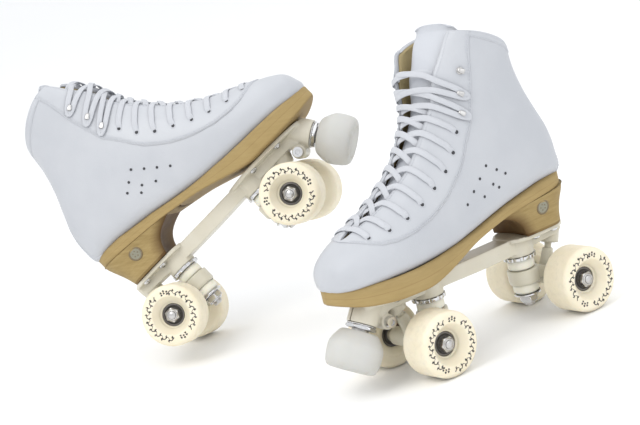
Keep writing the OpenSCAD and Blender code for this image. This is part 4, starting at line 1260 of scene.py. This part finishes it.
WHEEL_PROFILE = rounded([
    (11.2, 28.9), (12.6, 27.6), (14.5, 26.4), (17, 25.15), (18.4, 25.0), (19.2, 25.35),
    (20.2, 25.05), *arc(25, 30, 5, -90, 0, 12), (30, 36), (30.0, 42), (30, 48),
    *arc(25, 54, 5, 0, 90, 12), (24, 59), (21, 59.0), (19.6, 58.9), (18.9, 58.6),
    (18.4, 57.9), (16.4, 55.2), (14.6, 52.9), (13.6, 51.7), (13.0, 50.4), (12.4, 49.6),
    (11.2, 49.25), (11.12, 42.1), (9.1, 41.9), (9.1, 36.1), (11.12, 35.9), (11.12, 29.2),
    (11.2, 28.9)], 0.35, 2)


def wheel_tread(skate, rear, inner, corner):
    wear = [np.clip((r - 26.5) / 3.2, 0, 1) for r, _ in WHEEL_PROFILE]
    piece = Piece(skate)
    piece.add_at_corner(lathe(WHEEL_PROFILE, 88, TO_Y, WHEEL_CENTRE), rear, inner, flip=True,
                        wear=np.repeat(wear, 88))
    name = "wheel_" + corner
    piece.make(name + "_tread", [WHEEL], name, body=name, weld=0.01)


def printed_ring(skate, rear, inner, corner):
    """Scrolls with leaves, and chequers, round the outside face of a wheel."""
    piece = Piece(skate)
    phase = PRINT_PHASE[rear][inner] + (0.8 if skate == "right" else 0)

    def stroke(points, width):
        """A raised line through (radius, distance round) points, swelling along it."""
        line = curve(points, 6)
        tangents = unit(np.gradient(line, axis=0))
        normals = np.stack([-tangents[:, 1], tangents[:, 0]], -1)
        swell = np.abs(np.sin(np.linspace(0, 1, len(line)) * pi * (len(points) - 1) / 2 + 0.6))
        half = normals * width * (0.35 + 0.65 * swell)[:, None] / 2
        left, right = line + half, line - half
        corners = []
        for edge, depth in ((left, 0), (right, 0), (right, 0.5), (left, 0.5)):
            radius, angle = edge[:, 0], edge[:, 1] / 22.5 + phase
            y = np.full(len(line), WHEEL_FACE - depth)
            corners.append(np.stack([radius * np.cos(angle), y, radius * np.sin(angle)], -1))
        solid = np.stack(corners, 1).reshape(-1, 3) + np.array(WHEEL_CENTRE)
        last = (len(line) - 1) * 4
        faces = grid_faces(len(line), 4, wrap=True)
        faces += [(0, 1, 2, 3), (last + 3, last + 2, last + 1, last)]
        piece.add_at_corner((solid, faces), rear, inner)

    for start, end in ((-27, 25), (44, 101)):
        places = np.linspace(start, end, int((end - start) / 3.1))
        stroke([(PRINT_RADIUS + (1.5 if i % 2 else -1.5), x) for i, x in enumerate(places)],
               0.9)
        for i, x in enumerate(places[:-1]):
            q = 1 if i % 2 else -1
            leaf = ((0.9, 1.2), (2.0, 1.9), (3.0, 1.4))
            stroke([(PRINT_RADIUS + q * r, x + along) for r, along in leaf],
                   1.5 if i % 3 else 2.0)
    for start in (34, 111):
        for i in range(3):
            for j in range(2):
                radius = 21.4 + 2.2 * j + (1.1 if i % 2 else 0)
                x = start - 3.0 + 2.9 * i
                stroke([(radius - 0.9, x), (radius, x), (radius + 0.9, x)], 2.1)
    name = "wheel_" + corner
    piece.make(name + "_printed_ring", [INK], body=name)


def bearings(skate, rear, inner, corner):
    half = [(4.05, 0.3), (4.3, 0), (5.8, 0), (6.0, 0.15), (6.05, 0.55), (9.0, 0.55),
            (9.1, 0.1), (9.35, 0), (10.6, 0), (11, 0.4)]
    profile = half + [(r, BEARING_WIDTH - z) for r, z in reversed(half)] + half[:1]
    seal_rings = (4, 14)  # the flat rings between the races, one on each face
    count = 56
    piece = Piece(skate)
    for start in (29.0, 42.0):
        shape = [(r, z + start) for r, z in profile]
        points, faces = lathe(shape, count, TO_Y, WHEEL_CENTRE)
        races = [f for i, f in enumerate(faces) if i // count not in seal_rings]
        seals = [f for i, f in enumerate(faces) if i // count in seal_rings]
        piece.add_at_corner((points, races + seals), rear, inner, flip=True,
                            material=[0] * len(races) + [1] * len(seals))
    name = "bearings_" + corner
    piece.make(name + "_sealed", [RACE, SEAL], name, body="wheel_" + corner)


def axle(skate, rear):
    end = ENDS[rear]
    radius = 4.0
    rod = [(0.02, 0), (radius, 0), (radius, 40), (radius, 50)]
    rod += thread(50.0, 55.2, 0.62, radius, 3.72)
    rod += [(3.95, 55.4), (3.5, AXLE_END), (0.02, 56.1)]
    washer = rounded([(4.1, 49.1), (6.2, 49.1), (6.2, 50.05), (4.1, 50.05), (4.1, 49.1)],
                     0.15, 2)
    piece = Piece(skate)
    for inner in (False, True):
        for shape in (lathe(rod, 32, TO_Y, WHEEL_CENTRE),
                      lathe(washer, 40, TO_Y, WHEEL_CENTRE),
                      nut(12.7, 4.4, 4.05, TO_Y, (AXLE_X, 50.1, AXLE_Z), collar=0.9)):
            piece.add_at_corner(shape, rear, inner, flip=True)
    piece.make(end + "_axle_and_nuts", [STEEL], end + "_axle", body=end + "_truck")


# ---------------------------------------------------------------- kingpins and cushions
# name, z at the chassis end, z at the hanger's ring, (radius, z) profile
CUSHION_SHAPES = [
    ("upper", 56.9, 47.1,
     [(6.2, 47.1), (11.0, 47.1), (12.4, 48.3), (12.6, 50.5), (12.6, 52.2), (12.5, 54.0),
      (11.7, 56.4), (10.8, 56.9), (4.9, 56.9), (5.55, 52.0), (6.2, 47.1)]),
    ("lower", 24.0, 34.9,
     [(4.9, 24.0), (10.0, 24.0), (11.6, 25.6), (12.2, 28), (12.2, 30), (12.1, 32),
      (11.2, 34.3), (10.2, 34.9), (6.2, 34.9), (5.55, 29.5), (4.9, 24.0)])]


def cushions(skate):
    """Each cushion bends between the chassis and the hanger as the truck steers."""
    for rear, end in enumerate(ENDS):
        x = -KINGPIN[0] if rear else KINGPIN[0]
        for name, fixed_z, moving_z, profile in CUSHION_SHAPES:
            piece = Piece(skate)
            piece.add_at_corner(lathe(rounded(profile, 0.8, 4), 64, centre=KINGPIN), rear)
            start, stop = to_world(skate, [[x, 0, fixed_z], [x, 0, moving_z]])
            piece.make(f"{end}_{name}_cushion", [CUSHION], "cushions",
                       bend=(end + "_truck", tuple(start), tuple(stop)))


def on_kingpins(skate, shapes, name, material, replaces):
    """One piece holding the shapes of the front kingpin and their rear copies."""
    piece = Piece(skate)
    for rear in (False, True):
        for shape in shapes:
            piece.add_at_corner(shape, rear)
    piece.make(name, [material], replaces)


def kingpins(skate):
    radius = 4.75
    bolt = [(0.02, 11.4), (3.6, 11.5), (4.6, 12.3)] + thread(12.6, 24, 0.9, radius, 4.35)
    bolt += [(radius, 24.5), (radius, 74.8), (0.02, 75)]
    on_kingpins(skate, [lathe(bolt, 32, centre=KINGPIN)], "kingpin_bolts", STEEL, "kingpins")

    washer = rounded([(4.8, 14.5), (6.9, 14.5), (7.1, 15.9), (4.8, 15.9), (4.8, 14.5)], 0.3, 2)
    on_kingpins(skate, [nut(16, 5.6, 4.8, centre=(KINGPIN[0], 0, 15.9)),
                        lathe(washer, 40, centre=KINGPIN)],
                "kingpin_locknuts", CHROME, "kingpin_nuts")

    def notched(r, angle):
        """Twelve notches round the rim."""
        in_notch = abs(angle % (pi / 6) - pi / 12) > pi / 12 - 0.10
        return 14.3 if r >= 14.4 and in_notch else r
    upper = rounded([(4.9, 57), (14.2, 57.0), (15.5, 57.15), (15.5, 60.05), (14.6, 60.2),
                     (4.9, 60.2), (4.9, 57)], 0.2, 2)
    lower = rounded([(4.9, 21.7), (10.5, 21.7), (12.5, 22.3), (12.5, 23.9), (11.6, 23.9),
                     (4.9, 23.6), (4.9, 21.7)], 0.35, 3)
    on_kingpins(skate, [lathe(upper, 240, centre=KINGPIN, radius=notched),
                        lathe(lower, 64, centre=KINGPIN)],
                "adjuster_rings", CHROME, "cushion_retainers")


# ---------------------------------------------------------------- toe stop
STOP_AXIS = np.array([0.564, 0, -0.826])  # forwards and down
STOP_ORIGIN = np.array([129.5, 0, 61.0])
STOP_TURN = frame_on(STOP_AXIS, (0, 1, 0))


def toe_stop(skate):
    pad = rounded([
        (8.1, 20.0), (8.1, 7.0), (15.2, 7.0), (16.4, 7.35), (18.2, 8.9), (20.4, 12.0),
        (22.6, 15.4), (24.2, 18.8), (24.95, 22.3), (25.0, 26), (24.8, 30), (24.4, 34),
        (23.7, 37.2), (22.6, 39.6), (21.0, 41.2), (19.0, 41.9), (15.8, 42.0), (15.2, 41.5),
        (14.7, 41.45), (14.1, 42.0), (0.03, 42.0)], 0.5, 2)
    wear = np.repeat([np.clip((z - 36) / 5, 0, 1) for _, z in pad], 96)
    piece = Piece(skate)
    piece.add(*lathe(pad, 96, STOP_TURN, STOP_ORIGIN), wear=wear)
    piece.make("toe_stop_rubber", [PAD], "toe_stop_pad", body="toe_stop",
               weld=0.01)

    stem = [(0.02, -16), (6.9, -16), (7.9, -15.1)] + thread(-15, 19, 1.0, 8.0, 7.45)
    stem += [(7.9, 19.5), (7.9, 21.0), (0.02, 21.0)]
    piece = Piece(skate)
    piece.add(*lathe(stem, 40, STOP_TURN, STOP_ORIGIN))
    piece.make("toe_stop_threaded_stem", [STEEL], "toe_stop_stem", body="toe_stop")

    def ribbed(r, angle):
        return r if r < 11 else r - 0.35 * (0.5 + 0.5 * cos(36 * angle))
    ring = rounded([(8.1, 0.3), (13.0, 0.3), (13.4, 0.7), (13.4, 1.3), (12.6, 1.6),
                    (8.1, 1.6), (8.1, 0.3)], 0.2, 2)
    piece = Piece(skate)
    piece.add(*nut(24, 3.3, 8.1, STOP_TURN, STOP_ORIGIN + STOP_AXIS * 1.6))
    piece.add(*lathe(ring, 216, STOP_TURN, STOP_ORIGIN, ribbed))
    piece.make("toe_stop_lock_ring", [CHROME], "toe_stop_locknut")


# ---------------------------------------------------------------- parts from the CAD shapes
def finish_small_parts(skate):
    """Pivot cups and plate screws keep their CAD shape, with a fine bevel."""
    for name, material in (("pivot_cups", NYLON), ("plate_screws", CHROME)):
        ob = bpy.data.objects[f"{skate}_{name}"]
        for slot in ob.material_slots:
            slot.material = material
        bevel = ob.modifiers.new("bevel", "BEVEL")
        bevel.width = 0.00025
        bevel.segments = 2
        bevel.limit_method = "ANGLE"
        bevel.angle_limit = radians(40)


def casting(source, name, material, body, voxel):
    """Softens the left skate's CAD solid by remeshing, and places it on both skates."""
    mesh = bpy.data.objects["left_" + source].data.copy()
    ob = bpy.data.objects.new("casting", mesh)
    bpy.context.scene.collection.objects.link(ob)
    bm = bmesh.new()
    bm.from_mesh(mesh)
    bmesh.ops.remove_doubles(bm, verts=bm.verts, dist=1e-6)
    bm.to_mesh(mesh)
    bm.free()
    remesh = ob.modifiers.new("remesh", "REMESH")
    remesh.mode = "VOXEL"
    remesh.voxel_size = voxel * 0.001
    smooth = ob.modifiers.new("smooth", "SMOOTH")
    smooth.factor = 0.5
    smooth.iterations = 4
    evaluated = ob.evaluated_get(bpy.context.evaluated_depsgraph_get())
    result = evaluated.to_mesh()
    points = np.empty(len(result.vertices) * 3)
    result.vertices.foreach_get("co", points)
    points = points.reshape(-1, 3) * 1000
    faces = [tuple(p.vertices) for p in result.polygons]
    evaluated.to_mesh_clear()
    bpy.data.objects.remove(ob)
    bpy.data.meshes.remove(mesh)
    for skate in ("left", "right"):
        piece = Piece(skate)
        piece.add(points, faces)
        piece.make(name, [material], source, body=body)


SKATE_PARTS = (upper_leather, facing, back_stay, upper_stitching, vent_holes, lining, footbed,
               tongue_pad, tongue_stitching, lace_hardware, lacing, sole, heel, heel_studs)
for skate in ("left", "right"):
    for part in SKATE_PARTS:
        part(skate)
    for rear, end in enumerate(ENDS):
        axle(skate, rear)
        for inner, side_name in enumerate(("outer", "inner")):
            for part in (wheel_tread, printed_ring, bearings):
                part(skate, rear, inner, f"{end}_{side_name}")
    cushions(skate)
    kingpins(skate)
    toe_stop(skate)
    finish_small_parts(skate)
casting("plate", "cast_plate", PLATE, "chassis", voxel=0.75)
for end in ENDS:
    casting(end + "_truck", end + "_cast_hanger", TRUCK, end + "_truck", voxel=0.6)

# ---------------------------------------------------------------- floor, light, camera
# From here on lengths are in metres.
scene = bpy.context.scene


def add_floor(radius):
    bm = bmesh.new()
    bm.faces.new([bm.verts.new((cos(a) * radius, sin(a) * radius, 0))
                  for a in np.linspace(0, 2 * pi, 60, endpoint=False)])
    mesh = bpy.data.meshes.new("floor")
    bm.to_mesh(mesh)
    bm.free()
    floor = bpy.data.objects.new("floor", mesh)
    scene.collection.objects.link(floor)
    s = Shader("pale_floor")
    tone = s.mix(s.noise(scale=3, detail=2), (0.955, 0.955, 0.955), (0.97, 0.97, 0.97))
    surface = s.tree.nodes["Principled BSDF"].inputs
    s.wire(surface["Base Color"], tone)
    s.wire(surface["Roughness"], 0.6)
    s.wire(surface["Specular IOR Level"], 0.15)
    mesh.materials.append(s.material)


def add_world():
    world = bpy.data.worlds.new("studio")
    scene.world = world
    world.use_nodes = True
    background = world.node_tree.nodes["Background"].inputs
    background["Color"].default_value = (0.97, 0.985, 1.0, 1)
    background["Strength"].default_value = 1.02


def add_light(name, location, size, power, colour=(1, 1, 1)):
    """A rectangular light aimed at the middle of the pair."""
    light = bpy.data.lights.new(name, "AREA")
    light.shape = "RECTANGLE"
    light.size, light.size_y = size
    light.energy = power
    light.color = colour
    ob = bpy.data.objects.new(name, light)
    ob.location = location
    aim = Vector((0.04, -0.19, 0.12)) - Vector(location)
    ob.rotation_euler = aim.to_track_quat("-Z", "Y").to_euler()
    scene.collection.objects.link(ob)


def add_camera():
    data = bpy.data.cameras.new("cam")
    data.sensor_fit = "HORIZONTAL"
    data.sensor_width = 36
    data.lens = 137.09
    data.clip_start = 0.05
    camera = bpy.data.objects.new("cam", data)
    right = Vector((-0.7895, 0.5653, -0.2390))
    up = Vector((-0.3295, -0.0619, 0.9421))
    view = Vector((-0.5178, -0.8225, -0.2351))
    placed = Matrix((right, up, -view)).transposed().to_4x4()
    placed.translation = Vector((1.2303, 1.7271, 0.6631))
    camera.matrix_world = placed
    scene.collection.objects.link(camera)
    scene.camera = camera


add_floor(radius=6.0)
add_world()
add_light("key", (1.1, 0.15, 1.35), size=(0.8, 0.8), power=7.0, colour=(1.0, 0.985, 0.96))
add_light("fill", (-0.2, 1.5, 0.9), size=(1.2, 1.0), power=3.5, colour=(0.96, 0.98, 1.0))
add_light("top", (-0.1, -0.3, 1.7), size=(1.4, 1.4), power=4.5)
scene.view_settings.view_transform = "Standard"
scene.view_settings.look = "None"
scene.view_settings.exposure = 0.0
add_camera()
